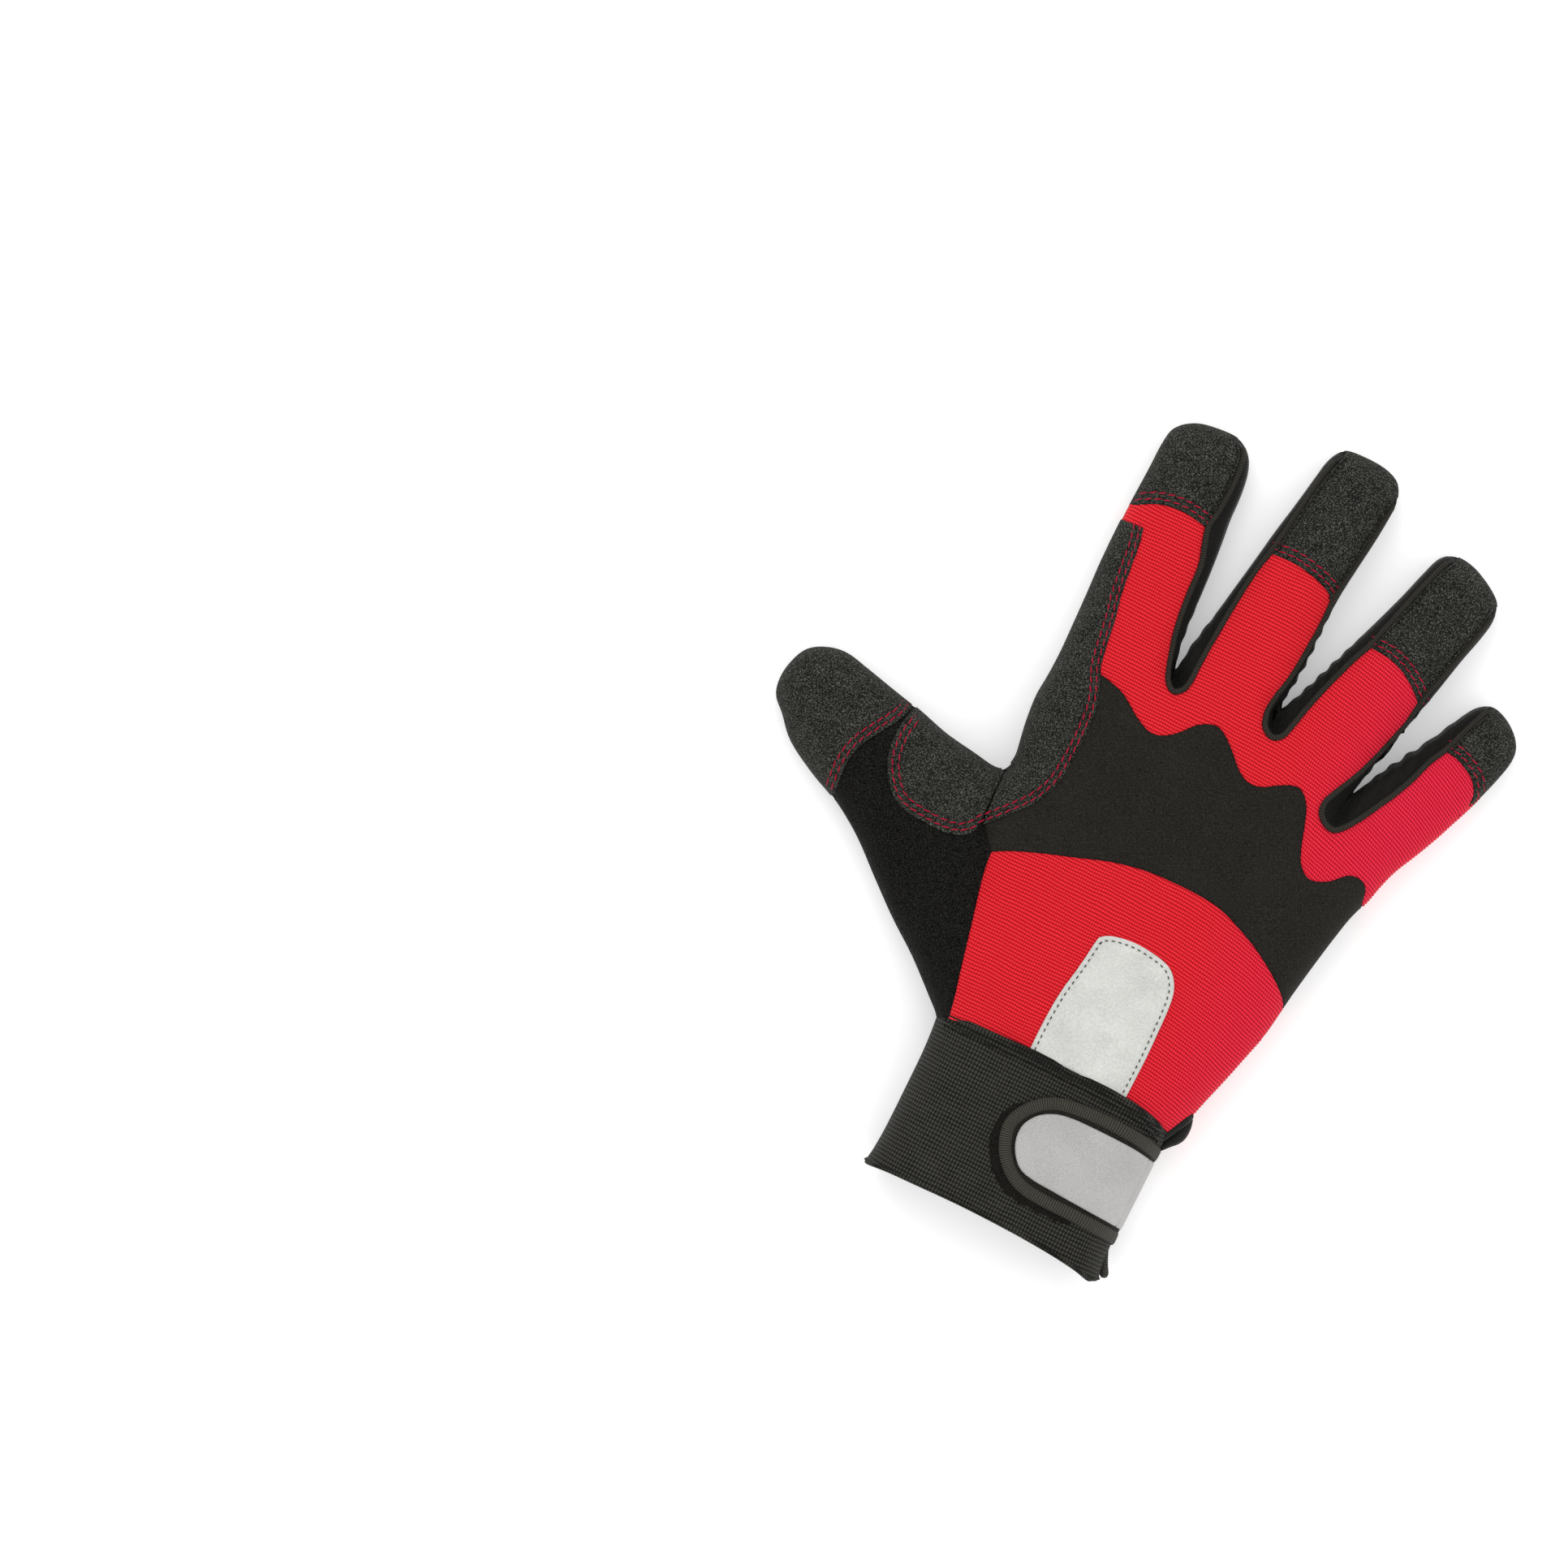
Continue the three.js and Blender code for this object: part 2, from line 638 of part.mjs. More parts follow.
// The scene graph
const pieces = [
  { name: "palm_panel", solid: halves.palm, fabric: "suede" },
  { name: "knuckle_panel", solid: knucklePanel, fabric: "redKnit" },
  { name: "back_panel", solid: backPanel, fabric: "neoprene" },
  { name: "wrist_panel", solid: wristPanel, fabric: "redKnit" },
  { name: "thumb_back", solid: thumbBack, fabric: "darkKnit" },
  { name: "thumb_tip", solid: thumbTip, fabric: "grip" },
  ...sideWalls,
  ...tipPatches,
  ...fingerPatches,
  { name: "index_side_patch", solid: indexSidePatch, fabric: "grip" },
  { name: "thumb_saddle_patch", solid: saddlePatch, fabric: "grip" },
  { name: "palm_patch", solid: palmPatch, fabric: "grip" },
  { name: "thenar_patch", solid: thenarPatch, fabric: "grip" },
  { name: "reflective_patch", solid: reflectivePatch, fabric: "reflective" },
  { name: "cuff_band", solid: cuffBand, fabric: "elastic" },
  { name: "strap_tab", solid: strapTab, fabric: "grosgrain" },
  { name: "strap_binding", solid: strapBinding, fabric: "elastic" },
  { name: "strap_face", solid: strapFace, fabric: "rubber" },
  ...slitBindings,
  { name: "pull_tab", solid: pullTab, fabric: "suede" },
  { name: "ulnar_loop", solid: ulnarLoop, fabric: "suede" },
];

const glove = new THREE.Group();
for (const { name, solid, fabric } of pieces) {
  const material = new THREE.MeshStandardMaterial({ ...fabrics[fabric], metalness: 0 });
  const mesh = new THREE.Mesh(geometryOf(solid), material);
  mesh.name = name;
  glove.add(mesh);
}

// The origin is the middle of the bounding box's bottom
const box = new THREE.Box3().setFromObject(glove);
const middle = box.getCenter(new THREE.Vector3());
glove.position.set(-middle.x, -middle.y, -box.min.z);

export default glove;
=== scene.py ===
"""A right-hand mechanic glove lying palm down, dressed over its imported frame.

Plan outlines are in millimetres in the hand's own frame: +X towards the little
finger, +Y towards the fingertips, the origin in the middle of the palm. Every
panel and patch follows one pair of surfaces, the back and the palm side, which
are worked out from the distance to the hand's outline.
"""

import math

import bpy
import numpy as np
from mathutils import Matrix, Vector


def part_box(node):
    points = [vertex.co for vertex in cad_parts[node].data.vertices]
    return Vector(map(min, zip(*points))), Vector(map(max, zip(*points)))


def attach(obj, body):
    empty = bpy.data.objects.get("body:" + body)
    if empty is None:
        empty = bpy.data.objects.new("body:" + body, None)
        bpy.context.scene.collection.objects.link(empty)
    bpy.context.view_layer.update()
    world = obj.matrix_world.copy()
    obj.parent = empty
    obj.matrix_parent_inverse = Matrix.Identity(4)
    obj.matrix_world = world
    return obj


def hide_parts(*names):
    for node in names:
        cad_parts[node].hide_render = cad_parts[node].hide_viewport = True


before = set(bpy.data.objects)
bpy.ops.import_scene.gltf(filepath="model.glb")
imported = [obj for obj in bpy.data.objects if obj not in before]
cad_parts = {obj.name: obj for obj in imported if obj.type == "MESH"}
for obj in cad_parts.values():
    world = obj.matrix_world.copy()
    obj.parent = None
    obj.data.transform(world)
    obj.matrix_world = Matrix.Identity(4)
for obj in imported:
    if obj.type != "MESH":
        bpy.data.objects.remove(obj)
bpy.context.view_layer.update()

MM = 1000

# Place of the hand's frame in the part's frame: the cuff band's middle and its top edge
CUFF_MIDDLE = 3.52
CUFF_TOP = -60.6
_low, _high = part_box("cuff_band")
SHIFT_X = (_low.x + _high.x) * MM / 2 - CUFF_MIDDLE
SHIFT_Y = _high.y * MM - CUFF_TOP

# Height of the palm side above the floor, thickness of a patch and of a panel, and the power
# of the superellipse that rounds the glove's sides
BASE = 1.2
PATCH = 0.85
FABRIC = 1.2
SIDE_ROUNDNESS = 2.2

# How far the outer face of a patch stands above the surface that it is sewn on
BACK_LIFT = 0.9
PALM_LIFT = 0.95

# Distances of the two rows of red stitches from the edge that they follow
CAP_ROWS = (1.4, 3.2)
TIP_ROWS = (1.5, 3.4)
SIDE_ROWS = (1.1, 2.8)
PALM_ROWS = (1.2, 3.0)

# An edge rolls down over this length; the groove under a row of stitches has this depth and
# half width
ROLL_REACH = 0.7
GROOVE_DEPTH = 0.32
GROOVE_WIDTH = 0.55


def sharp(*points):
    """Each point twice, which makes it a corner of a smooth outline."""
    return [copy for point in points for copy in (point, point)]


# Outline of the hand with the cuff
HAND = [
    (-31, -140), (-31, -100), (-31.5, -74), (-33.2, -67.5), (-35.5, -63), (-40, -58.8),
    (-50, -50.2), (-60, -42.8), (-70, -34.5), (-80, -26), (-90, -19.5), (-100, -15), (-110, -9.3),
    (-116, -3), (-120, 1), (-121.2, 6), (-120.5, 11.5), (-118, 17), (-113, 20.2),
    (-107, 21.3), (-100, 20), (-90, 17.7), (-80, 15.5), (-70, 12.8), (-60, 11.3),
    (-53, 10.3), (-49.6, 11.5), (-48.3, 16), (-49, 21), (-50, 27), (-50.7, 35), (-50.2, 42),
    (-50, 50), (-50.3, 60), (-50.7, 70), (-51.2, 80), (-51.3, 95), (-50.8, 110),
    (-50.6, 119), (-49.3, 124.5), (-44.5, 128.3), (-38, 129.8), (-31, 129.9), (-26.5, 127),
    (-24, 122), (-22.9, 115), (-22.5, 107), (-21.7, 100), (-20.8, 90), (-20.2, 80),
    (-19.5, 70), (-18.5, 64), (-17.5, 60.2), (-16.9, 64), (-16.2, 70), (-14.2, 80),
    (-12.5, 90), (-10.8, 100), (-9.2, 110), (-7.3, 120), (-5.6, 130), (-4.4, 136),
    (-1.5, 140.6), (5, 141.6), (12, 141.2), (17, 139), (19.3, 134), (19.4, 128),
    (18.6, 119), (17.5, 110), (16.5, 100), (16.4, 90), (16.5, 80), (15.8, 70), (15, 65),
    (14.7, 62.5), (16.4, 65), (18.7, 70), (22.5, 80), (26.2, 90), (29.8, 100), (33.2, 110),
    (35.6, 118), (38, 124.5), (42, 127.2), (48, 126.8), (55, 123.6), (59.4, 120),
    (60.6, 115), (59.7, 109), (57.4, 100), (55.2, 90), (52.8, 80), (50.2, 70), (48.5, 63),
    (46.6, 55), (45.6, 50.6), (47.4, 53.5), (50.6, 60), (53.7, 65.5), (59.3, 75),
    (64.8, 85.5), (67.8, 90), (71.5, 92), (76, 91), (80.5, 88), (83.4, 84), (83.8, 79.5),
    (82.6, 74), (80.8, 68), (78.6, 61.5), (76.2, 55.5), (73.8, 49.5), (70.6, 42.5),
    (67.2, 35.5), (65.2, 29.5), (63.8, 24), (61.5, 17.5), (59.8, 10), (57.9, 0), (56.2, -10),
    (55.2, -17), (54, -25), (51.6, -34), (49.4, -42), (47, -50), (44.8, -57.5), (42.2, -63),
    (39.5, -68), (37.5, -75), (37, -100), (37, -140),
]

# Seam lines that two pieces share: across each fingertip, and along both sides of each
# gap between fingers, from the tip edge to the gap and back out
INDEX_EDGE = [(-60, 95.5), (-51, 98), (-45, 101), (-40, 102.3), (-35, 102.5), (-28.5, 101.5)]
MIDDLE_EDGE = [(-7.5, 103.3), (0, 103.5), (8, 102), (13, 100), (14.5, 97.5)]
RING_EDGE = [(30.8, 91.3), (36, 91), (41, 89.6), (46, 86.8), (51, 82.8)]
LITTLE_EDGE = [(64.5, 73.8), (68, 73.2), (71, 72), (75, 69.5), (77.5, 66), (79.8, 61)]
INDEX_TIP_SIDE = [
    (-31, 129.2), (-28.6, 125.5), (-27.6, 119), (-27.5, 112), (-27.9, 106), (-28.5, 101.5),
]
MIDDLE_TIP_LEFT = [(-7.5, 103.3), (-6.5, 110), (-5.4, 118), (-4.1, 127), (-2.6, 134), (-1, 139.8)]
MIDDLE_TIP_RIGHT = [(18.3, 134), (17.6, 127), (16.8, 119), (15.8, 110), (14.9, 103), (14.5, 97.5)]
RING_TIP_LEFT = [(30.8, 91.3), (33, 99), (35.6, 108), (38.4, 117), (40.4, 122.5), (42.2, 126)]
RING_TIP_RIGHT = [(59, 118), (57.8, 111), (55.8, 102), (53.2, 92), (51, 82.8)]
LITTLE_TIP_LEFT = [(64.5, 73.8), (66.6, 79.5), (68.9, 85.5), (71, 90.5)]
INDEX_MIDDLE_GAP = [
    (-28.5, 101.5), (-27, 96), (-25.2, 90), (-24.5, 80), (-23.2, 70), (-21.4, 63), (-19.8, 58),
    (-18.3, 54.8), (-15.6, 53), (-13, 54.9), (-12.1, 58.5), (-12, 64), (-11.3, 75), (-10.2, 88),
    (-9, 97), (-7.5, 103.3),
]
MIDDLE_RING_GAP = [
    (14.5, 97.5), (14.7, 90), (14.2, 80), (13.4, 72), (11.9, 65.5), (11.5, 61), (11.9, 58),
    (13.2, 55.3), (16.4, 53.8), (19, 55.4), (20.2, 58.8), (22, 66), (24, 73), (26, 79),
    (28.5, 86), (30.8, 91.3),
]
RING_LITTLE_GAP = [
    (51, 82.8), (50.2, 76), (48.3, 69), (46.2, 62), (44.2, 56.5), (41.8, 51.5), (39.6, 47),
    (38.2, 43.5), (38.7, 40.3), (41, 38), (44, 37.2), (46.6, 39), (50, 43.6), (53, 49),
    (56, 54.5), (59, 61), (61.5, 68), (64.5, 73.8),
]
KNUCKLE_EDGE = [
    (-60, 49), (-46, 48.8), (-37, 48.5), (-32, 47.5), (-28, 46), (-22, 42), (-17, 39.8),
    (-13, 40.5), (-9, 43.5), (-5, 48), (0, 50.2), (4, 48.5), (8, 45), (12, 41.2), (16, 39.3),
    (20, 40), (24, 42.5), (28, 44.4), (31, 44.2), (34, 41), (36, 36), (38, 29.5), (40, 25),
    (43, 22.2), (46, 22), (50, 24), (54, 27.8), (58, 28.5), (61, 26.5), (63, 21), (70, 14),
]
WRIST_ARC = [
    (-43, -12.5), (-38, -9.8), (-30, -6.5), (-20, -3), (-10, 0.5), (0, 2.6), (10, 3.2),
    (18, 3.1), (25, 2.2), (33, -0.7), (40, -4), (48, -9), (54, -14), (60, -22),
]
WRIST_SIDE = [(-43, -12.5), (-42, -20), (-39, -33), (-36, -46), (-33.5, -56), (-32.3, -62)]
THUMB_FOLD = [(-50.5, 14), (-49.6, 8), (-49.3, 0), (-48.3, -6), (-43, -12.5)]
CAP_EDGE = [
    (-81.3, 24), (-82.6, 15.5), (-83.6, 11.5), (-86.5, 6.5), (-89.5, 1.5), (-91.6, -3),
    (-92.4, -9), (-92, -14), (-91.5, -18), (-90, -26),
]
THUMB_CAP = [*CAP_EDGE, CAP_EDGE[-1], *sharp((-135, -30), (-135, 30))]
INDEX_SIDE_EDGE = [
    *sharp((-45, 93)), (-43.9, 88), (-43, 80), (-42, 72), (-40.5, 65), (-38.5, 52),
    (-37, 48), (-35, 43), (-33.8, 38), (-33.3, 28), (-33.8, 18), (-35, 12), (-38, 6),
    (-42, 1), (-46, -3.5), *sharp((-48.8, -6.5)),
]
SADDLE_EDGE = [
    (-80.7, 24), (-82, 14.5), (-83.1, 10.5), (-83.5, 6), (-82.8, 0), (-80.6, -5), (-77, -9.6),
    (-73, -12.2), (-66, -13.4), (-58, -13.4), (-53, -12), *sharp((-50, -9.5)),
]
REFLECTIVE = [
    (-3.8, -22), (-3.2, -20.6), (0, -18.8), (7, -17.7), (15, -18.5), (19.5, -20.2), (22.5, -24),
    (23.8, -29), (24.3, -38), (24.5, -48), *sharp((24.2, -62)), (8, -61.5),
    *sharp((-7.2, -61.5)), (-7.2, -50), (-6.5, -40), (-5, -31),
]
TAB = [
    *sharp((46, -72.5)), (41, -70), (36, -68), (30, -67), (20, -66.7), (10, -67.6),
    (4, -69.6), (-1, -73.8), (-4, -79), (-4.3, -84), (-2, -90), (2.5, -95), (8, -97.8),
    (15, -98.7), (25, -98.8), (33, -99.2), (41, -100.6), *sharp((46, -101.4)),
]
FACE = [
    *sharp((45.4, -75.6)), (40.5, -74), (36, -72.6), (30, -71.8), (20, -71.6), (12, -72),
    (7, -73.3), (3, -76), (0.6, -80), (0.6, -84.5), (2.6, -88.8), (6, -92), (11, -93.2),
    (18, -93.6), (30, -94.3), (40, -95.7), *sharp((45.4, -96.5)),
]
PALM_PATCH = [
    (-51, 46), (-46, 46.5), (-30, 47.5), (-20, 47), (-10, 45.5), (0, 43.5), (15, 39.5),
    (30, 34.5), (45, 28), *sharp((60, 19)), (66, 0), (62, -1.5), *sharp((31.5, -1.5)),
    (30.4, -7), (31.3, -13), (33.5, -18.5), (38, -24), (44, -27),
    *sharp((56, -29.5), (56, -47)), (44, -49.5), (35, -52), (25, -53.5), *sharp((10, -54.5)),
    (10, -40), (9.5, -30), (8, -18), (5, -8), (0, 1), (-6, 9), (-13, 16), (-22, 23),
    (-32, 28), (-42, 30.3), *sharp((-51, 31)),
]
THENAR = [
    (-51, 24), (-45.5, 23.5), (-35, 21.5), (-25, 17), (-15, 10), (-8, 3), (-3, -5), (1, -13),
    (4, -22), (6, -35), *sharp((7, -54), (-21.5, -54)), (-20.5, -40),
    (-20, -25), (-21, -15), (-24, -5), (-29, 4), (-35, 11), (-42, 15.5), *sharp((-51, 18.5)),
]
THENAR_OVAL = [
    (-16.5, 3.4), (-18.8, -1), (-17.6, -9), (-15, -21), (-13.6, -33), (-10, -38), (-5.8, -35.5),
    (-4.3, -28), (-4.8, -18), (-8, -7), (-12, 0.5),
]
PULL_TAB = sharp((-3, -66.5), (17, -66.5), (19.4, -108.6), (0.3, -108.6))
HOOK_STRIP = [
    (6, -73), (0, -73.6), (-3.6, -75), (-6, -79), (-6.6, -84), (-5.6, -89), (-2.6, -94.4),
    (2, -98.6), (8, -100.6), (15, -101), (24, -100.8), (26, -99.4), (26, -97), (10, -95),
]
# Rolled ends of the cuff beside its slit, and the folded fabric above the strap: plan
# point, height and radius
SLIT_EDGES = [
    [(37.2, -99, 20.6, 0.5), (37.7, -103, 20.4, 0.8), (38.2, -107.5, 20, 1.0),
     (38.6, -111.2, 19.4, 1.25), (38.7, -113, 19, 1.0)],
    [(39.2, -100, 16.5, 0.5), (40.3, -103.5, 15.5, 0.8), (41.5, -106.5, 14.5, 1.0),
     (42.7, -109.2, 13.4, 1.35), (43.2, -110.2, 13, 0.9)],
]
NUB_FOLDS = [
    [(39.2, -68, 16.5, 0.7), (40.2, -64.5, 17.4, 1.5), (41.6, -61, 17.6, 1.9),
     (43.2, -57.6, 17.2, 2.1), (44.9, -55.4, 16, 1.1)],
    [(40.8, -69.4, 13.5, 0.7), (42.2, -66.2, 14.2, 1.7), (43.9, -63, 14.8, 2.4),
     (44.6, -59.6, 15.2, 2.0), (44.6, -56.4, 15.2, 1.2)],
]
WEB = [
    (-79, 24), (-78.3, 13), (-76, 6.5), (-70.5, 1.2), (-62, -0.6), (-53.5, 1.4), (-48, 6),
    *sharp((-46.5, 12), (-44, 30)),
]

# Finger axes on the palm side: name, tip, direction from the tip to the root, half
# width of the grip bars, and the distances of the stitched edges from the tip
FINGERS = [
    ("index", (-37, 130), (0.04, -1.0), 9.6, (31.5, 41.5, 50.5, 59.5, 69.5)),
    ("middle", (8, 141.5), (-0.118, -0.993), 9.6, (39.5, 49.5, 58.5, 67.5, 76.5)),
    ("ring", (51.2, 127.5), (-0.29, -0.957), 9.4, (33.5, 43, 52, 61, 70.5)),
    ("little", (77, 91.5), (-0.4, -0.917), 8.6, (20.5, 29.5, 37.5, 46.5, 55.5)),
]


# Curves and distances
def along_line(line):
    """Length from a line's first point to each of its points."""
    return np.concatenate([[0], np.cumsum(np.linalg.norm(np.diff(line, axis=0), axis=1))])


def at_lengths(line, along, lengths):
    """Points of a plan line at given lengths along it."""
    return np.column_stack([np.interp(lengths, along, line[:, k]) for k in range(2)])


def unit(vectors):
    """Vectors divided by their own lengths."""
    return vectors / np.linalg.norm(vectors, axis=1)[:, None]


def left_of(directions):
    """Plan directions turned a quarter to the left: (x, y) becomes (-y, x)."""
    return np.column_stack([-directions[:, 1], directions[:, 0]])


def ramp(value, start, width):
    """From 0 at the start to 1 a width further on, level beyond; a negative width runs back."""
    return np.clip((value - start) / width, 0, 1)


def eased(share):
    """A share with level ends: three times its square less twice its cube."""
    return share * share * (3 - 2 * share)


def smooth(points, closed=True, per=5):
    """A Catmull-Rom curve through the points, each span in equal steps of its own parameter.

    The span between the two copies of a corner stays on the corner.
    """
    p = np.array(points, float)
    if closed:
        p0, p1, p2, p3 = np.roll(p, 1, 0), p, np.roll(p, -1, 0), np.roll(p, -2, 0)
    else:
        padded = np.vstack([2 * p[0] - p[1], p, 2 * p[-1] - p[-2]])
        p0, p1, p2, p3 = padded[:-3], padded[1:-2], padded[2:-1], padded[3:]
    t = np.linspace(0, 1, per, endpoint=False)[:, None, None]
    line = 0.5 * (
        2 * p1 + (p2 - p0) * t + (2 * p0 - 5 * p1 + 4 * p2 - p3) * t**2
        + (3 * p1 - p0 - 3 * p2 + p3) * t**3
    )
    corner_span = np.linalg.norm(p2 - p1, axis=1) < 1e-9
    line = np.where(corner_span[None, :, None], p1[None], line)
    line = line.transpose(1, 0, 2).reshape(-1, 2)
    if not closed:
        line = np.vstack([line, p[-1]])
    keep = np.linalg.norm(line - np.roll(line, 1, 0), axis=1) > 1e-4
    return line[keep]


def resampled(line, step):
    """An open line's points at equal distances of about one step, with their directions."""
    along = along_line(line)
    at = np.linspace(0, along[-1], max(2, int(round(along[-1] / step)) + 1))
    points = at_lengths(line, along, at)
    return points, unit(np.gradient(points, axis=0)), at


# Side of the square tiles in which distances are worked out
TILE = 16.0


def distance(points, line):
    """Signed distance to a closed line, positive inside, and the nearest point on it.

    The points are taken tile by tile. Each is projected on every segment that can be
    the nearest to its tile, and the nearest projection is kept; the sign comes from
    how often a ray along +X crosses the line.
    """
    a, b = line, np.roll(line, -1, 0)
    span = b - a
    length2 = (span**2).sum(1)
    longest = math.sqrt(length2.max())
    rise = np.where(np.abs(span[:, 1]) < 1e-9, 1e-9, span[:, 1])
    signed, nearest = np.empty(len(points)), np.empty((len(points), 2))
    tile = np.floor(points / TILE).astype(np.int64) @ np.array([100000, 1])
    order = np.argsort(tile, kind="stable")
    for rows in np.split(order, np.flatnonzero(np.diff(tile[order])) + 1):
        p = points[rows]
        centre = (p.min(0) + p.max(0)) / 2
        reach = np.linalg.norm(a - centre, axis=1)
        radius = np.linalg.norm(p - centre, axis=1).max()
        near = np.flatnonzero(reach < reach.min() + 2 * radius + 2 * longest)
        offset = p[:, None, :] - a[near][None]
        t = np.clip((offset * span[near]).sum(2) / length2[near], 0, 1)
        gap2 = ((offset - t[..., None] * span[near]) ** 2).sum(2)
        best = gap2.argmin(1)
        each = np.arange(len(p))
        nearest[rows] = a[near[best]] + t[each, best, None] * span[near[best]]
        level = np.minimum(a[:, 1], b[:, 1]) <= p[:, 1].max()
        level &= np.maximum(a[:, 1], b[:, 1]) >= p[:, 1].min()
        low, high, run, up = a[level], b[level], span[level, 0], rise[level]
        crossed = (low[None, :, 1] > p[:, None, 1]) != (high[None, :, 1] > p[:, None, 1])
        cross_x = low[None, :, 0] + (p[:, None, 1] - low[None, :, 1]) * run[None] / up[None]
        inside = (crossed & (cross_x > p[:, None, 0])).sum(1) % 2 == 1
        signed[rows] = np.sqrt(gap2[each, best]) * np.where(inside, 1, -1)
    return signed, nearest


# Step of the outline's points, and its gathers: middle, half length, pitch and depth
OUTLINE_STEP = 0.9
GATHERS = [
    ((15.8, 80), 17, 5.4, 0.35),
    ((49.5, 68), 15, 5.6, 0.3),
    ((-15, 72), 10, 6.5, 0.2),
    ((58, 73), 14, 7.0, 0.25),
]


def gathered(line):
    """The outline in even steps with small waves, a cosine along its normal in soft windows."""
    line = resampled(np.vstack([line, line[:1]]), OUTLINE_STEP)[0][:-1]
    normal = unit(-left_of(np.roll(line, -1, 0) - np.roll(line, 1, 0)))
    along = np.cumsum(np.linalg.norm(line - np.roll(line, 1, 0), axis=1))
    shift = np.zeros(len(line))
    for middle, reach, pitch, depth in GATHERS:
        away = np.linalg.norm(line - middle, axis=1) / reach
        shift += depth * np.exp(-(away**4) * 2) * np.cos(2 * np.pi * along / pitch)
    return line + normal * shift[:, None]


HAND_LINE = gathered(smooth(HAND))
# The grid on which the distance to the hand's outline is kept: step, corner, rows and columns
FIELD_STEP = 0.7
FIELD_LOW = np.array([-126.0, -141.0])
FIELD_SHAPE = (408, 306)


def hand_field():
    """Signed distances to the hand's outline and its nearest points, on a grid of the plan."""
    rows, columns = FIELD_SHAPE
    x = FIELD_LOW[0] + np.arange(columns) * FIELD_STEP
    y = FIELD_LOW[1] + np.arange(rows) * FIELD_STEP
    gx, gy = np.meshgrid(x, y)
    gap, nearest = distance(np.column_stack([gx.ravel(), gy.ravel()]), HAND_LINE)
    return np.column_stack([gap, nearest])


HAND_FIELD = hand_field()


def to_hand(points):
    """Signed distance to the hand's outline and its nearest point, read from the field.

    Between grid points the four around a place are mixed by its share of the cell.
    """
    rows, columns = FIELD_SHAPE
    place = (points - FIELD_LOW) / FIELD_STEP
    place = np.clip(place, 0, [columns - 1.001, rows - 1.001])
    cell = place.astype(int)
    fx, fy = (place - cell).T[:, :, None]
    start = cell[:, 1] * columns + cell[:, 0]
    low = HAND_FIELD[start] * (1 - fx) + HAND_FIELD[start + 1] * fx
    high = HAND_FIELD[start + columns] * (1 - fx) + HAND_FIELD[start + columns + 1] * fx
    found = low * (1 - fy) + high * fy
    return found[:, 0], found[:, 1:]


def inside_gap(points):
    """Distance to the hand's outline, nought outside it."""
    return np.maximum(to_hand(points)[0], 0)


def table(rows):
    """A smooth function through (position, value) rows."""
    line = smooth(rows, closed=False)
    return lambda at: np.interp(at, line[:, 0], line[:, 1])


# Full height for each y along the hand, and for each x along the thumb
hand_height = table([
    (-140, 28.5), (-110, 28.5), (-60, 28), (-30, 27.3), (0, 26.4), (25, 25), (45, 22.6), (62, 20),
    (80, 18.4), (105, 17.6), (125, 16.4), (145, 15),
])
thumb_height = table([(-130, 14), (-118, 16), (-100, 18.8), (-80, 20.5), (-60, 23), (-40, 26.5)])

# Folds of the fabric: from, to, half width and depth
BACK_FOLDS = [
    ((-50.5, 12), (-47.5, -9), 2.6, 1.5),
    ((-47, -9), (-41, -24), 4.0, 1.4),
    ((-30, 60), (-44, 57), 3.0, 0.7),
    ((-12, 72), (14, 75), 3.2, 0.6),
    ((20, 67), (46, 60), 3.0, 0.7),
    ((50, 44), (70, 38), 3.0, 0.7),
    ((-24, -52), (-2, -40), 5.0, 0.7),
    ((30, -50), (46, -36), 4.5, 0.8),
    ((-70, -20), (-46, -42), 5.0, 0.9),
]

# The widest line lies at this share of the height; the back is rounded off over this
# distance at the fingers, more in the palm and less at the little finger; and the same for
# the palm side
WIDEST_SHARE = 0.4
FINGER_ROUND, PALM_ROUND_MORE, LITTLE_ROUND_LESS = 12.0, 5.0, 2.0
UNDER_ROUND = 6.5


def rounding(gap, radius):
    """Share of the full height at a distance from the outline: a superellipse's quarter."""
    q = ramp(gap, 0, radius)
    return (1 - (1 - q) ** SIDE_ROUNDNESS) ** (1 / SIDE_ROUNDNESS)


def levels(points):
    """Full height of the back and height of the widest line.

    The hand's table passes over into the thumb's to the left, and the little finger
    is 1.5 mm lower.
    """
    x, y = points.T
    on_thumb = eased(ramp(x, -46, -14) * ramp(y, 30, -12))
    full = hand_height(y) * (1 - on_thumb) + thumb_height(x) * on_thumb
    full = full - 1.5 * (ramp(x, 50, 10) * ramp(y, 30, 20))
    return full, BASE + WIDEST_SHARE * (full - BASE)


def back_surface(points, gap):
    """Height of the back: the full height, rounded off to the widest line at the outline.

    Each fold takes off a bell across its line, and two slow waves keep it uneven.
    """
    full, middle = levels(points)
    x, y = points.T
    radius = FINGER_ROUND + PALM_ROUND_MORE * ramp(y, 55, -30) * ramp(x, -62, 20)
    radius -= LITTLE_ROUND_LESS * ramp(x, 52, 8) * ramp(y, 38, 10)
    height = middle + (full - middle) * rounding(gap, radius)
    for (x0, y0), (x1, y1), width, depth in BACK_FOLDS:
        a, span = np.array([x0, y0]), np.array([x1 - x0, y1 - y0])
        t = ramp((points - a) @ span, 0, span @ span)
        away = np.linalg.norm(points - a - t[:, None] * span, axis=1)
        height -= depth * np.exp(-((away / width) ** 2)) * ramp(gap, 0, 4)
    soft = 0.22 * np.sin(x / 6.1 + y / 9.7) + 0.18 * np.sin(y / 5.3 - x / 13.0 + 1.3)
    return height + soft * ramp(gap, 0, 6)


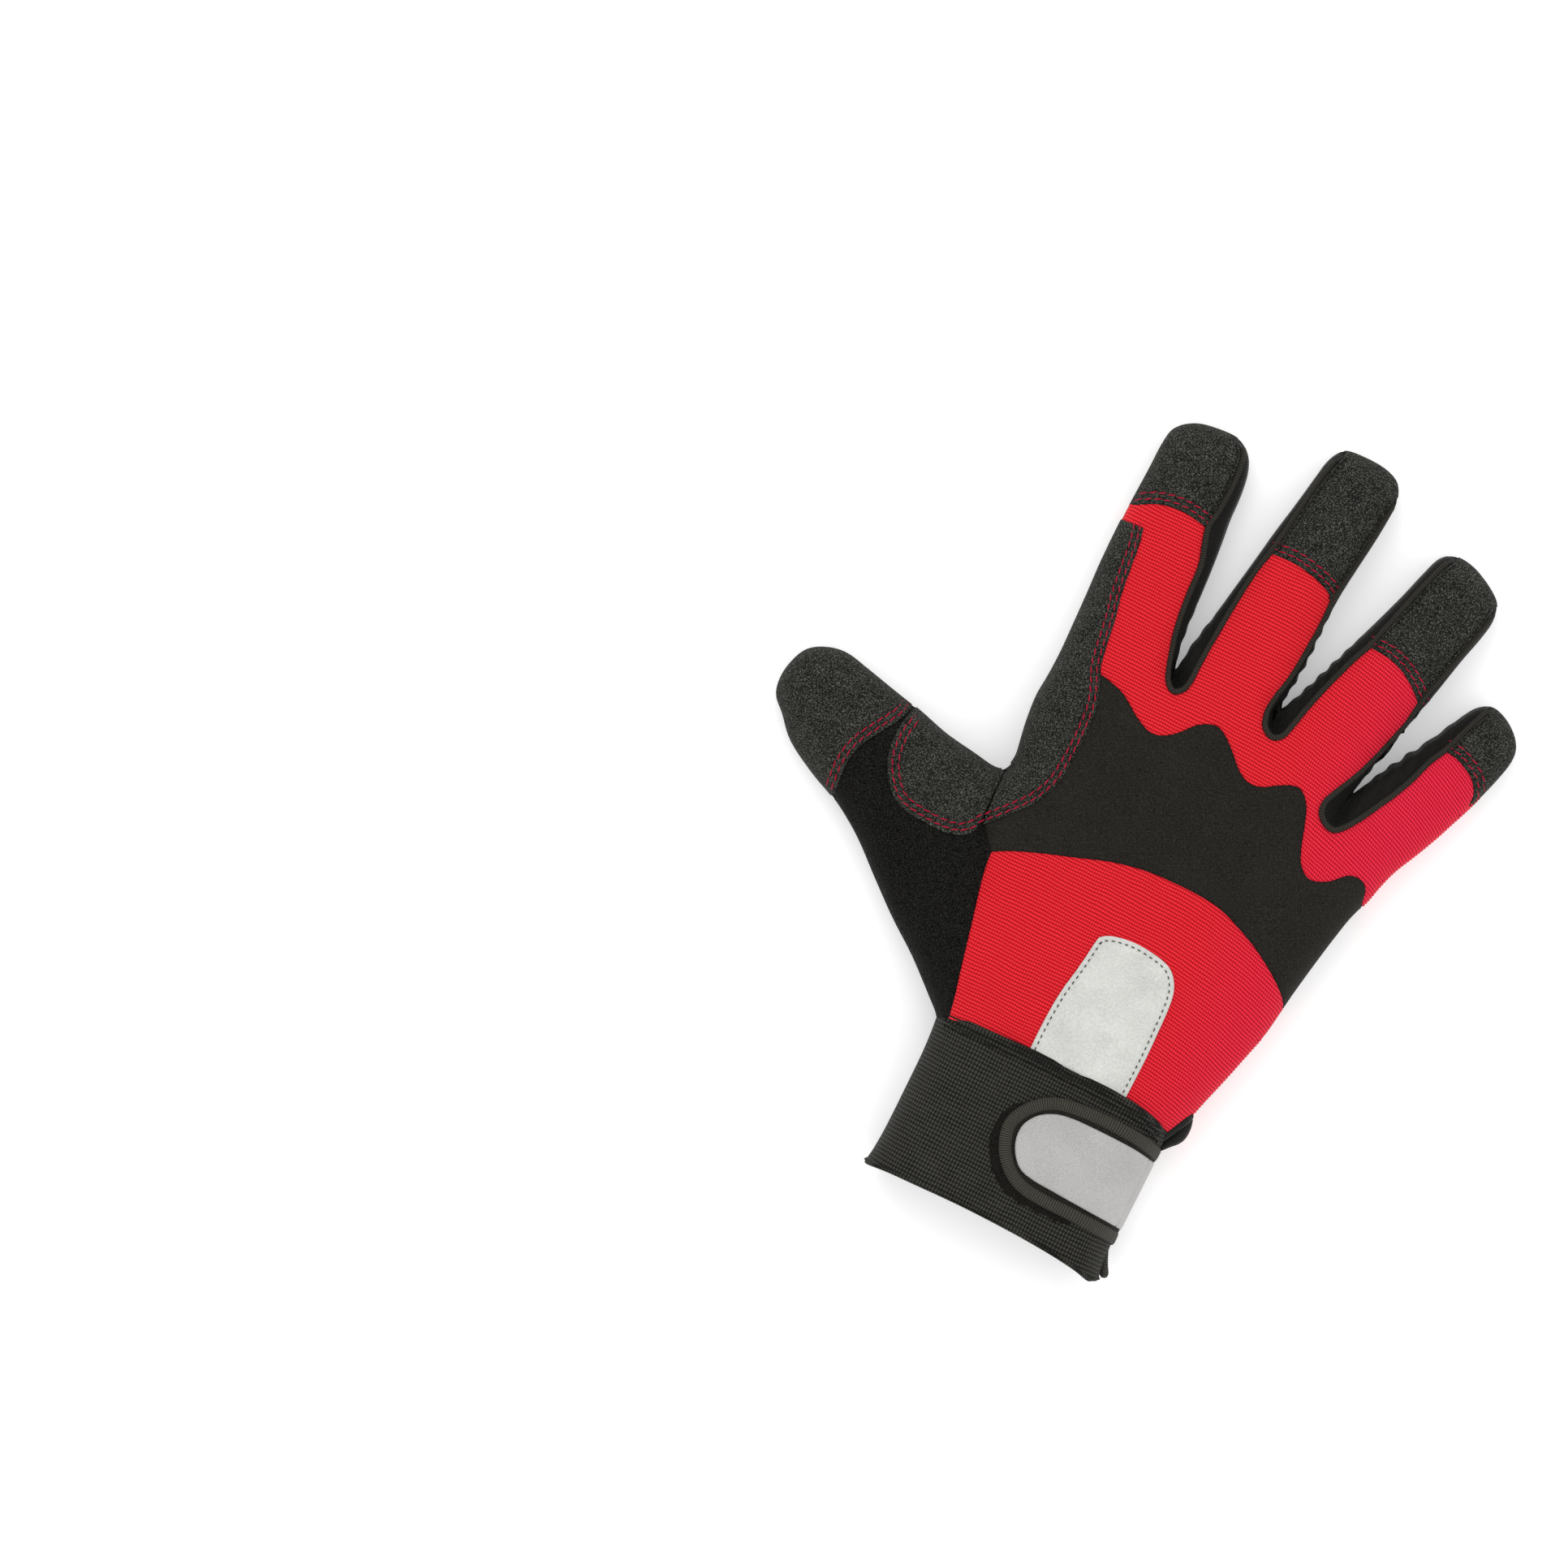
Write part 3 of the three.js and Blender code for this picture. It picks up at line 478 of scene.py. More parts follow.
def palm_surface(points, gap):
    """Height of the palm side: flat on its base, curving up to the widest line at the outline."""
    _, middle = levels(points)
    return middle - (middle - BASE) * rounding(gap, UNDER_ROUND)


def heights_on(points, gap, side):
    """Height of the back (side 1) or of the palm side (-1)."""
    return back_surface(points, gap) if side > 0 else palm_surface(points, gap)


# Meshes
def mesh_object(name, points, faces, material, uv=None):
    """One object from points in the hand's frame (mm) and one or more arrays of equal faces."""
    mesh = bpy.data.meshes.new(name)
    placed = (points + np.array([SHIFT_X, SHIFT_Y, 0])) / MM
    groups = faces if isinstance(faces, list) else [faces]
    faces = [np.asarray(group, np.int32) for group in groups]
    sizes = np.concatenate([np.full(len(group), group.shape[1], np.int32) for group in faces])
    corners = np.concatenate([group.ravel() for group in faces])
    mesh.vertices.add(len(placed))
    mesh.vertices.foreach_set("co", placed.astype(np.float32).ravel())
    mesh.loops.add(len(corners))
    mesh.loops.foreach_set("vertex_index", corners)
    mesh.polygons.add(len(sizes))
    starts = np.concatenate([[0], np.cumsum(sizes)[:-1]]).astype(np.int32)
    mesh.polygons.foreach_set("loop_start", starts)
    mesh.polygons.foreach_set("loop_total", sizes)
    if uv is not None:
        layer = mesh.uv_layers.new(name="cloth")
        layer.data.foreach_set("uv", (uv[corners] / MM).astype(np.float32).ravel())
    mesh.update(calc_edges=True)
    mesh.validate()
    mesh.polygons.foreach_set("use_smooth", np.ones(len(mesh.polygons), bool))
    mesh.materials.append(material)
    piece = bpy.data.objects.new(name, mesh)
    bpy.context.scene.collection.objects.link(piece)
    return piece


def dress(piece, slot, *nodes):
    """Puts a piece on the glove's one body, in place of its solids."""
    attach(piece, "root")
    if nodes:
        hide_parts(*nodes)
    return piece


def thicken(piece, thickness):
    """Gives a sheet its thickness in mm, inwards from the surface that was worked out."""
    solid = piece.modifiers.new("fabric", "SOLIDIFY")
    solid.thickness = thickness / MM
    solid.offset = -1
    solid.use_even_offset = False
    return piece


def grid_quads(profile):
    """Quads of a grid of points, row by row."""
    count, across = profile.shape[:2]
    index = np.arange(count * across).reshape(count, across)
    quads = np.stack([index[:-1, :-1], index[1:, :-1], index[1:, 1:], index[:-1, 1:]], -1)
    return quads.reshape(-1, 4)


# Panels end this far inside the hand's outline, and a hem carries them on from there
HEM_INSET = 0.6
# Shares of a hem's reach on the other side at which it has a ring
HEM_SHARES = (0.03, 0.1, 0.25, 0.5, 0.75, 0.95)


def sheet_grid(outline, cell, inset):
    """A grid over a plan outline, trimmed to the hand's own outline less an inset.

    Grid points within half a cell of an edge are moved onto it, and cells with three
    or four points left are kept. Returns the points, their quads and triangles, each
    point's distance to the outline, and whether it lies on the trimmed edge. With no
    inset the outline isn't trimmed.
    """
    line = smooth(outline)
    low, high = line.min(0) - cell, line.max(0) + cell
    if inset is not None:
        low = np.maximum(low, HAND_LINE.min(0) - cell)
        high = np.minimum(high, HAND_LINE.max(0) + cell)
    nx, ny = np.ceil((high - low) / cell).astype(int) + 1
    gx, gy = np.meshgrid(low[0] + np.arange(nx) * cell, low[1] + np.arange(ny) * cell)
    points = np.column_stack([gx.ravel(), gy.ravel()])
    own, near_own = distance(points, line)
    hem, near_hem = np.full(len(points), 99.0), near_own
    if inset is not None:
        hand, near_hand = to_hand(points)
        away = (points - near_hand) / np.maximum(np.abs(hand), 1e-9)[:, None]
        near_hem = near_hand + away * np.sign(hand)[:, None] * inset
        hem = hand - inset
    on_hem = hem < own
    gap = np.minimum(own, hem)
    used = gap > -0.5 * cell
    snap = used & (gap < 0.5 * cell)
    moved = points.copy()
    moved[snap] = np.where(on_hem[snap, None], near_hem[snap], near_own[snap])
    index = np.arange(nx * ny).reshape(ny, nx)
    quads = np.stack([index[:-1, :-1], index[:-1, 1:], index[1:, 1:], index[1:, :-1]], -1)
    quads = quads.reshape(-1, 4)
    count = used[quads].sum(1)
    triple = quads[count == 3]
    order = np.argmin(used[triple], axis=1)
    picked = (order[:, None] + np.array([1, 2, 3])) % 4
    faces = [quads[count == 4], np.take_along_axis(triple, picked, 1)]
    kept = np.unique(np.concatenate([group.ravel() for group in faces]))
    renumber = np.full(len(points), -1)
    renumber[kept] = np.arange(len(kept))
    faces = [renumber[group] for group in faces]
    return moved[kept], faces, own[kept], (snap & on_hem)[kept]


def hem_rings(points, edges, under, lift, side, on_other):
    """Rings that carry a sheet's edge round the hand's outline and under it.

    Each ring lies at a distance from the outline, on the sheet's own side, at the
    outline, or on the other side, and takes its height from the surface there. On
    the other side it stands proud by on_other. How far it reaches there is one number
    or a function of the plan point.
    """
    loop = np.unique(edges)
    gap, near = to_hand(points[loop])
    inward = (points[loop] - near) / np.maximum(np.abs(gap), 1e-6)[:, None]
    reach = under(near) if callable(under) else np.full(len(near), float(under))
    none = np.zeros(len(near))
    steps = [(none + 0.3, 1, 0.0), (none + 0.1, 1, 0.0), (none, 1, 0.1)]
    if reach.max() > 0:
        steps += [(reach * share, -1, on_other) for share in HEM_SHARES]
        steps.append((reach, -1, 0.1))
    rings = []
    for gap, own_side, proud in steps:
        place = near + inward * gap[:, None]
        height = heights_on(place, gap, side * own_side)
        rise = proud + (lift * np.minimum(gap / 2, 1) if own_side > 0 else 0)
        out = (0.35 * lift + proud * 0.4) * (1 - np.minimum(gap / 3, 1)) ** 2
        place = place - inward * out[:, None]
        rings.append(np.column_stack([place, height + side * own_side * rise]))
    return loop, rings


def boundary_edges(faces):
    """Directed edges that only one face uses."""
    pairs = np.concatenate([np.stack([f, np.roll(f, -1, 1)], -1).reshape(-1, 2) for f in faces])
    key = np.sort(pairs, 1)
    code = key[:, 0].astype(np.int64) * (key.max() + 1) + key[:, 1]
    _, first, count = np.unique(code, return_index=True, return_counts=True)
    return pairs[first[count == 1]]


def panel(name, outline, material, slot, nodes, side=1, lift=0.0, under=0.0, cell=0.65,
          thickness=FABRIC, roll=0.45, grooves=(), inset=HEM_INSET, hem=True, on_other=0.3):
    """A panel or patch: the back (side 1) or palm side (-1) surface over a plan outline.

    A lift raises it, less a roll that fades from its edge inwards and a groove, a bell,
    along each row of stitches. Where it reaches the hand's outline it goes on round it.
    """
    points, faces, own, on_hem = sheet_grid(outline, cell, inset)
    gap = to_hand(points)[0]
    height = heights_on(points, gap, side)
    edge = np.clip(own if hem else np.minimum(own, gap - inset), 0, None)
    relief = lift - roll * np.exp(-edge / ROLL_REACH)
    for row in grooves:
        relief = relief - GROOVE_DEPTH * np.exp(-(((edge - row) / GROOVE_WIDTH) ** 2))
    solid_points = np.column_stack([points, height + side * relief])
    edges = boundary_edges(faces)
    hem_edges = edges[on_hem[edges].all(1)] if hem else edges[:0]
    if len(hem_edges):
        loop, rings = hem_rings(points, hem_edges, under, lift, side, on_other)
        slot_of = np.full(len(points), -1)
        slot_of[loop] = np.arange(len(loop))
        start = len(solid_points)
        chain = [hem_edges]
        chain += [slot_of[hem_edges] + start + k * len(loop) for k in range(len(rings))]
        bands = [
            np.column_stack([a[:, 1], a[:, 0], b[:, 0], b[:, 1]])
            for a, b in zip(chain[:-1], chain[1:])
        ]
        faces.append(np.concatenate(bands))
        solid_points = np.vstack([solid_points, *rings])
    if side < 0:
        faces = [f[:, ::-1] for f in faces]
    faces = [f for f in faces if len(f)]
    piece = mesh_object(name, solid_points, faces, material)
    thicken(piece, thickness)
    return dress(piece, slot, *nodes)


def strip(name, path, profile, material, slot, nodes, thickness=FABRIC):
    """A profile carried along a path: rows of points, one for each step of the path."""
    count, across = profile.shape[:2]
    steps = np.linalg.norm(np.diff(profile, axis=1), axis=2)
    width = np.concatenate([np.zeros((count, 1)), np.cumsum(steps, 1)], 1)
    uv = np.stack([np.repeat(path[:, None], across, 1), width], -1).reshape(-1, 2)
    piece = mesh_object(name, profile.reshape(-1, 3), grid_quads(profile), material, uv)
    if thickness:
        thicken(piece, thickness)
    return dress(piece, slot, *nodes)


def cord_mesh(line, radius, sides):
    """A round cord: a circle carried along a line of points, turned to its direction.

    The first and the last circle are small, and are closed with one face each.
    """
    tangent = unit(np.gradient(line, axis=0))
    side = np.cross(tangent, [0, 0, 1.0])
    side /= np.maximum(np.linalg.norm(side, axis=1), 1e-6)[:, None]
    up = np.cross(side, tangent)
    angle = np.linspace(0, 2 * np.pi, sides, endpoint=False)
    size = radius * np.ones(len(line))
    size[[0, -1]] *= 0.3
    ring = np.cos(angle)[None, :, None] * side[:, None] + np.sin(angle)[None, :, None] * up[:, None]
    points = line[:, None] + ring * size[:, None, None]
    index = np.arange(len(line) * sides).reshape(len(line), sides)
    nxt = np.roll(index, -1, 1)
    quads = np.stack([index[:-1], index[1:], nxt[1:], nxt[:-1]], -1).reshape(-1, 4)
    along = np.repeat(along_line(line)[:, None], sides, 1)
    uv = np.stack([along, np.outer(size, angle)], -1).reshape(-1, 2)
    return points.reshape(-1, 3), [quads, index[:1, ::-1], index[-1:]], uv


# Shader fields
class Field:
    """A shader socket that takes part in Python expressions."""

    def __init__(self, tree, socket):
        self.tree, self.socket = tree, socket

    def _math(self, operation, *values):
        inputs = dict(enumerate(values))
        return self.tree.node("ShaderNodeMath", {"operation": operation}, inputs)

    def __add__(self, other):
        return self._math("ADD", self, other)

    def __mul__(self, other):
        return self._math("MULTIPLY", self, other)

    def __sub__(self, other):
        return self._math("SUBTRACT", self, other)

    def __rsub__(self, other):
        return self._math("SUBTRACT", other, self)

    def __truediv__(self, other):
        return self._math("DIVIDE", self, other)

    def __rtruediv__(self, other):
        return self._math("DIVIDE", other, self)

    __radd__ = __add__
    __rmul__ = __mul__

    def clamped(self):
        """The value held between 0 and 1."""
        return self.tree.node("ShaderNodeClamp", {}, {0: self})

    def cosine(self):
        """The cosine of the value."""
        return self._math("COSINE", self)

    def above(self, floor):
        """The value, or the floor where it is lower."""
        return self._math("MAXIMUM", self, floor)


class Cloth:
    """A material's node tree, with one method for any node and short names for common ones."""

    def __init__(self, name, roughness, sheen=0.0, sheen_tint=(1, 1, 1), specular=0.35):
        self.material = bpy.data.materials.new(name)
        self.material.use_nodes = True
        self.nodes = self.material.node_tree.nodes
        self.links = self.material.node_tree.links
        self.shader = self.nodes["Principled BSDF"]
        self.shader.inputs["Roughness"].default_value = roughness
        self.shader.inputs["Specular IOR Level"].default_value = specular
        self.shader.inputs["Sheen Weight"].default_value = sheen
        self.shader.inputs["Sheen Roughness"].default_value = 0.4
        self.shader.inputs["Sheen Tint"].default_value = (*sheen_tint, 1)

    def node(self, kind, settings, inputs, output=0):
        """A node of any kind: its settings first, then its sockets' values or links."""
        made = self.nodes.new(kind)
        for key, value in settings.items():
            setattr(made, key, value)
        for key, value in inputs.items():
            if isinstance(value, Field):
                self.links.new(value.socket, made.inputs[key])
            else:
                made.inputs[key].default_value = value
        return Field(self, made.outputs[output])

    def place(self, uv=False):
        """Millimetres on the object, or along and across the piece's own cloth map."""
        source = self.node("ShaderNodeTexCoord", {}, {}, "UV" if uv else "Object")
        return self.node("ShaderNodeVectorMath", {"operation": "SCALE"}, {0: source, 3: MM})

    def parts(self, vector):
        """A vector's x, y and z."""
        made = self.nodes.new("ShaderNodeSeparateXYZ")
        self.links.new(vector.socket, made.inputs[0])
        return [Field(self, made.outputs[k]) for k in range(3)]

    def noise(self, vector, size, detail=2.0, roughness=0.5):
        """Soft noise whose features are about a size in mm."""
        return self.node("ShaderNodeTexNoise", {}, {
            "Vector": vector, "Scale": 1.0 / size, "Detail": detail, "Roughness": roughness,
        })

    def cells(self, vector, size):
        """Distance to the middle of the nearest cell, in cells of a size in mm."""
        return self.node("ShaderNodeTexVoronoi", {}, {"Vector": vector, "Scale": 1.0 / size})

    def blend(self, factor, low, high):
        """One colour at 0 of the factor, the other at 1, and their mixture between."""
        made = self.nodes.new("ShaderNodeMix")
        made.data_type = "RGBA"
        self.links.new(factor.socket, made.inputs[0])
        for value, socket in ((low, made.inputs[6]), (high, made.inputs[7])):
            if isinstance(value, Field):
                self.links.new(value.socket, socket)
            else:
                socket.default_value = (*value, 1)
        return Field(self, made.outputs[2])

    def finish(self, colour, height=None, depth=0.2):
        """Links the colour, and a relief whose full height is a depth in mm, to the shader."""
        self.links.new(colour.socket, self.shader.inputs["Base Color"])
        if height is not None:
            bump = self.node("ShaderNodeBump", {}, {
                "Strength": 1.0, "Distance": depth / MM, "Height": height,
            })
            self.links.new(bump.socket, self.shader.inputs["Normal"])
        return self.material


def srgb(red, green, blue):
    """An 8-bit screen colour as linear light."""
    channels = np.array([red, green, blue]) / 255
    linear = np.where(channels <= 0.04045, channels / 12.92, ((channels + 0.055) / 1.055) ** 2.4)
    return tuple(float(c) for c in linear)


def wave(coordinate, pitch):
    """A cosine from 0 to 1 that repeats at a pitch in mm."""
    return (coordinate * (2 * math.pi / pitch)).cosine() * 0.5 + 0.5


# Pitch of the red knit's rows
KNIT_ROW = 1.05


def red_knit():
    """Waffle knit: rows across the hand that bend down towards the ulnar edge, cut into dashes."""
    cloth = Cloth("red_rib_knit", roughness=0.85, sheen=0.02, sheen_tint=(1, 0.6, 0.55),
                  specular=0.1)
    place = cloth.place()
    x, y, _ = cloth.parts(place)
    x, y = x - SHIFT_X, y - SHIFT_Y
    bend = (x - 5.0).above(0.0)
    sway = cloth.noise(place, 14.0)
    row = wave(y + bend * bend * 0.0036 + sway * 1.6, KNIT_ROW)
    dash = wave(x + sway * 1.2, 0.75)
    relief = row * (dash * 0.8 + 0.2)
    fleck = cloth.noise(place, 0.45, 3.0)
    # Partly painted highlight and shade: the rows' crests are coloured lighter and their valleys
    # darker; the fleck is the yarn's own variation
    tone = (relief * 1.5 + fleck * 0.4 - 0.2).clamped()
    rosy = ((x - 20.0) / 40.0).clamped()
    low = cloth.blend(rosy, srgb(164, 8, 22), srgb(166, 8, 34))
    high = cloth.blend(rosy, srgb(252, 50, 61), srgb(250, 50, 80))
    return cloth.finish(cloth.blend(tone, low, high), relief + fleck * 0.2, 0.2)


def grip_fabric():
    """Grip fabric: pale crumbs of about 0.4 mm over a black ground."""
    cloth = Cloth("grip_fabric", roughness=0.8, specular=0.12)
    place = cloth.place()
    crumb = cloth.noise(place, 0.42, 3.0, 0.6)
    cell = cloth.cells(place, 0.62)
    patchy = cloth.noise(place, 5.0)
    grain = (crumb * 5.2 - 2.5 + patchy * 0.4 - cell * 0.3).clamped()
    colour = cloth.blend(grain, srgb(15, 16, 13), srgb(94, 95, 87))
    return cloth.finish(colour, grain, 0.12)


def suede():
    """Synthetic suede: short nap with soft brushed patches."""
    cloth = Cloth("black_suede", roughness=0.95, sheen=0.02, sheen_tint=(0.9, 0.8, 0.7),
                  specular=0.08)
    place = cloth.place()
    nap = cloth.noise(place, 0.35, 3.0)
    brushed = cloth.noise(place, 7.0, 3.0)
    tone = (nap * 0.9 + brushed * 0.7 - 0.35).clamped()
    colour = cloth.blend(tone, srgb(26, 24, 20), srgb(54, 51, 44))
    return cloth.finish(colour, nap, 0.08)


def neoprene():
    """Knit-faced neoprene: a very fine grain."""
    cloth = Cloth("black_neoprene", roughness=0.85, sheen=0.02, sheen_tint=(0.9, 0.85, 0.8),
                  specular=0.12)
    place = cloth.place()
    x, y, _ = cloth.parts(place)
    weave = wave(x + y * 0.5, 0.62) * wave(y - x * 0.5, 0.62)
    grain = cloth.noise(place, 0.4, 2.0)
    soft = cloth.noise(place, 16.0)
    tone = (weave * 0.5 + grain * 2.4 + soft * 0.3 - 1.1).clamped()
    colour = cloth.blend(tone, srgb(17, 16, 13), srgb(48, 46, 40))
    return cloth.finish(colour, weave + grain, 0.06)


def dark_knit():
    """Stretch knit of the thumb's back."""
    cloth = Cloth("dark_knit", roughness=0.9, sheen=0.02, sheen_tint=(0.8, 0.8, 0.85), specular=0.1)
    place = cloth.place()
    x, y, _ = cloth.parts(place)
    stitch = wave(x * 0.8 + y * 0.6, 0.9) * wave(y * 0.8 - x * 0.6, 0.7)
    grain = cloth.noise(place, 0.4)
    tone = (stitch * 0.3 + grain * 4.0 - 1.8).clamped()
    colour = cloth.blend(tone, srgb(2, 2, 2), srgb(38, 37, 33))
    return cloth.finish(colour, stitch + grain * 0.5, 0.1)


def grosgrain(name, dark, light, rib_pitch=0.75, roughness=0.75):
    """Ribbed tape: ribs across its length, painted lighter on the crests as a highlight."""
    cloth = Cloth(name, roughness, sheen=0.02, sheen_tint=(0.9, 0.85, 0.75), specular=0.2)
    place = cloth.place(uv=True)
    along, across, _ = cloth.parts(place)
    rib = wave(along, rib_pitch)
    twill = wave(across + along * 0.5, 0.35) * 0.3
    grain = cloth.noise(cloth.place(), 0.5)
    # Painted highlight: the ribs' crests are coloured lighter than their hollows, over a fine grain
    # of the tape's own colour
    tone = (rib * 0.65 + twill * 0.3 + grain * 0.5 - 0.15).clamped()
    return cloth.finish(cloth.blend(tone, dark, light), rib + twill, 0.14)


def elastic():
    """Woven elastic: columns along the cuff's height crossed by finer rows."""
    cloth = Cloth("woven_elastic", roughness=0.8, sheen=0.02, sheen_tint=(0.9, 0.9, 0.95),
                  specular=0.15)
    place = cloth.place(uv=True)
    around, along, _ = cloth.parts(place)
    sway = cloth.noise(place, 8.0)
    row = wave(along + sway * 0.8, 1.24)
    column = wave(around + sway * 0.5, 0.95)
    relief = column * row * 0.7 + column * 0.15 + row * 0.15
    grain = cloth.noise(cloth.place(), 0.4, 2.0)
    bands = cloth.noise(place, 7.0)
    tone = (relief * 1.0 + grain * 0.8 + bands * 0.2 - 0.5).clamped()
    colour = cloth.blend(tone, srgb(5, 5, 4), srgb(72, 71, 64))
    return cloth.finish(colour, relief + grain * 0.2, 0.16)


def fuzzy_hooks():
    """Hook tape: a black pile of short loops with a few pale ends."""
    cloth = Cloth("hook_tape", roughness=0.9, specular=0.1)
    place = cloth.place()
    pile = cloth.noise(place, 0.5, 3.0, 0.65)
    ends = (cloth.noise(place, 0.28, 2.0) * 6.0 - 3.7).clamped()
    tone = (pile * 0.6 + ends - 0.2).clamped()
    return cloth.finish(cloth.blend(tone, srgb(8, 8, 8), srgb(66, 62, 54)), pile, 0.35)


def reflective():
    """Reflective fabric: pale silver with a fine woven grid and faint creases."""
    cloth = Cloth("reflective_fabric", roughness=0.6, specular=0.15)
    place = cloth.place()
    x, y, _ = cloth.parts(place)
    weave = wave(x, 0.42) * wave(y, 0.42)
    cloudy = cloth.noise(place, 9.0, 3.0)
    fleck = cloth.noise(place, 0.7, 2.0)
    tone = (weave * 0.3 + cloudy * 1.0 + fleck * 1.2 - 0.7).clamped()
    colour = cloth.blend(tone, srgb(184, 185, 180), srgb(218, 219, 214))
    return cloth.finish(colour, weave + cloudy * 0.6, 0.04)


def strap_rubber():
    """Moulded rubber: satin silver grey with a fine sandy grain."""
    cloth = Cloth("strap_rubber", roughness=0.6, specular=0.15)
    place = cloth.place()
    sand = cloth.noise(place, 0.3, 2.0)
    cloudy = cloth.noise(place, 14.0, 2.0)
    tone = (sand * 1.6 + cloudy * 0.6 - 0.6).clamped()
    colour = cloth.blend(tone, srgb(148, 146, 145), srgb(192, 190, 188))
    return cloth.finish(colour, sand, 0.04)


def thread(name, dark, light):
    """Sewing thread: a fine twist between two shades."""
    cloth = Cloth(name, roughness=0.7, specular=0.12)
    place = cloth.place()
    twist = cloth.noise(place, 0.5, 2.0)
    colour = cloth.blend(twist, dark, light)
    return cloth.finish(colour, twist, 0.04)


RED_KNIT = red_knit()
GRIP = grip_fabric()
SUEDE = suede()
NEOPRENE = neoprene()
DARK_KNIT = dark_knit()
GROSGRAIN = grosgrain("black_grosgrain", srgb(6, 6, 5), srgb(60, 57, 49))
BINDING = grosgrain("binding_tape", srgb(12, 11, 9), srgb(80, 77, 68))
SATIN = grosgrain("black_satin", srgb(9, 9, 9), srgb(28, 27, 24), 0.5, 0.55)
HOOKS = fuzzy_hooks()
ELASTIC = elastic()
REFLECT = reflective()
RUBBER = strap_rubber()
RED_THREAD = thread("red_thread", srgb(118, 8, 30), srgb(190, 28, 62))
RED_YARN = thread("red_yarn", srgb(196, 20, 40), srgb(230, 38, 62))
BLACK_THREAD = thread("black_thread", srgb(8, 8, 8), srgb(30, 29, 28))


# Panels of the back
def red_wrap(points):
    """How far the knuckle knit shows on the palm side: a crescent below the little finger.

    A millimetre all round, and a bell over y, let in towards the little finger's edge.
    """
    x, y = points.T
    crescent = np.exp(-(((y - 42) / 15) ** 2)) * ramp(x, 55, 8)
    return 1.0 + 4.2 * crescent


def back_panels():
    """The fabric panels of the back and the thumb's cap, each between its seam lines."""
    knuckle = [
        *INDEX_EDGE, *sharp(INDEX_EDGE[-1]), *INDEX_MIDDLE_GAP[1:-1], *sharp(MIDDLE_EDGE[0]),
        *MIDDLE_EDGE[1:-1], *sharp(MIDDLE_EDGE[-1]), *MIDDLE_RING_GAP[1:-1],
        *sharp(RING_EDGE[0]), *RING_EDGE[1:-1], *sharp(RING_EDGE[-1]), *RING_LITTLE_GAP[1:-1],
        *sharp(LITTLE_EDGE[0]), *LITTLE_EDGE[1:], (95, 60), (80, 20), *KNUCKLE_EDGE[::-1],
        KNUCKLE_EDGE[0],
    ]
    panel("knuckle_knit", knuckle, RED_KNIT, "red_knit", ["knuckle_panel"], under=red_wrap,
          lift=0.1)
    back = [
        *KNUCKLE_EDGE, KNUCKLE_EDGE[-1], *sharp((75, -22)), *WRIST_ARC[::-1], WRIST_ARC[0],
        *THUMB_FOLD[::-1], *sharp((-60, 14)), KNUCKLE_EDGE[0],
    ]
    panel("back_neoprene", back, NEOPRENE, "neoprene", ["back_panel"], under=3)
    wrist = [
        *WRIST_ARC, WRIST_ARC[-1], *sharp((70, -63)), (44, -66), (39.5, -65.5), (32, -63),
        (24, -61.6), (8, -60.6), (-7, -60.8), (-20, -61.4), *sharp((-32, -64)),
        *WRIST_SIDE[::-1],
    ]
    panel("wrist_knit", wrist, RED_KNIT, "red_knit", ["wrist_panel"], under=1.6, lift=0.1)
    thumb = [
        *THUMB_FOLD, *WRIST_SIDE, WRIST_SIDE[-1], *sharp((-32, -66)), (-130, -66),
        (-130, -30), *CAP_EDGE[::-1], CAP_EDGE[0], *sharp((-52, 24)),
    ]
    panel("thumb_back_knit", thumb, DARK_KNIT, "dark_knit", ["thumb_back"], under=4.5)
    panel("thumb_cap_back", THUMB_CAP, GRIP, "grip", ["thumb_tip"], lift=0.4, under=3,
          grooves=CAP_ROWS, on_other=0.55)


def tip_patches():
    """Fingertip patches of the back: each from its stitched edge to the end of the finger."""
    outlines = {
        "index": [
            *INDEX_EDGE[:-1], *sharp(INDEX_EDGE[-1]), *INDEX_TIP_SIDE[-2::-1],
            *sharp((-36, 145), (-60, 140)),
        ],
        "middle": [
            *MIDDLE_EDGE[:-1], *sharp(MIDDLE_EDGE[-1]), *MIDDLE_TIP_RIGHT[-2::-1],
            *sharp((22, 150), (-3, 150)), *MIDDLE_TIP_LEFT[:0:-1], *sharp(MIDDLE_EDGE[0]),
        ],
        "ring": [
            *RING_EDGE[:-1], *sharp(RING_EDGE[-1]), *RING_TIP_RIGHT[-2::-1],
            *sharp((66, 135), (43, 138)), *RING_TIP_LEFT[:0:-1], *sharp(RING_EDGE[0]),
        ],
        "little": [
            *LITTLE_EDGE, *sharp((95, 55), (95, 100), (72, 100)), *LITTLE_TIP_LEFT[:0:-1],
            *sharp(LITTLE_EDGE[0]),
        ],
    }
    for finger, outline in outlines.items():
        panel(finger + "_tip_back_patch", outline, GRIP, "grip", [finger + "_tip_back"],
              lift=0.25, under=3.2, grooves=TIP_ROWS, on_other=0.55)


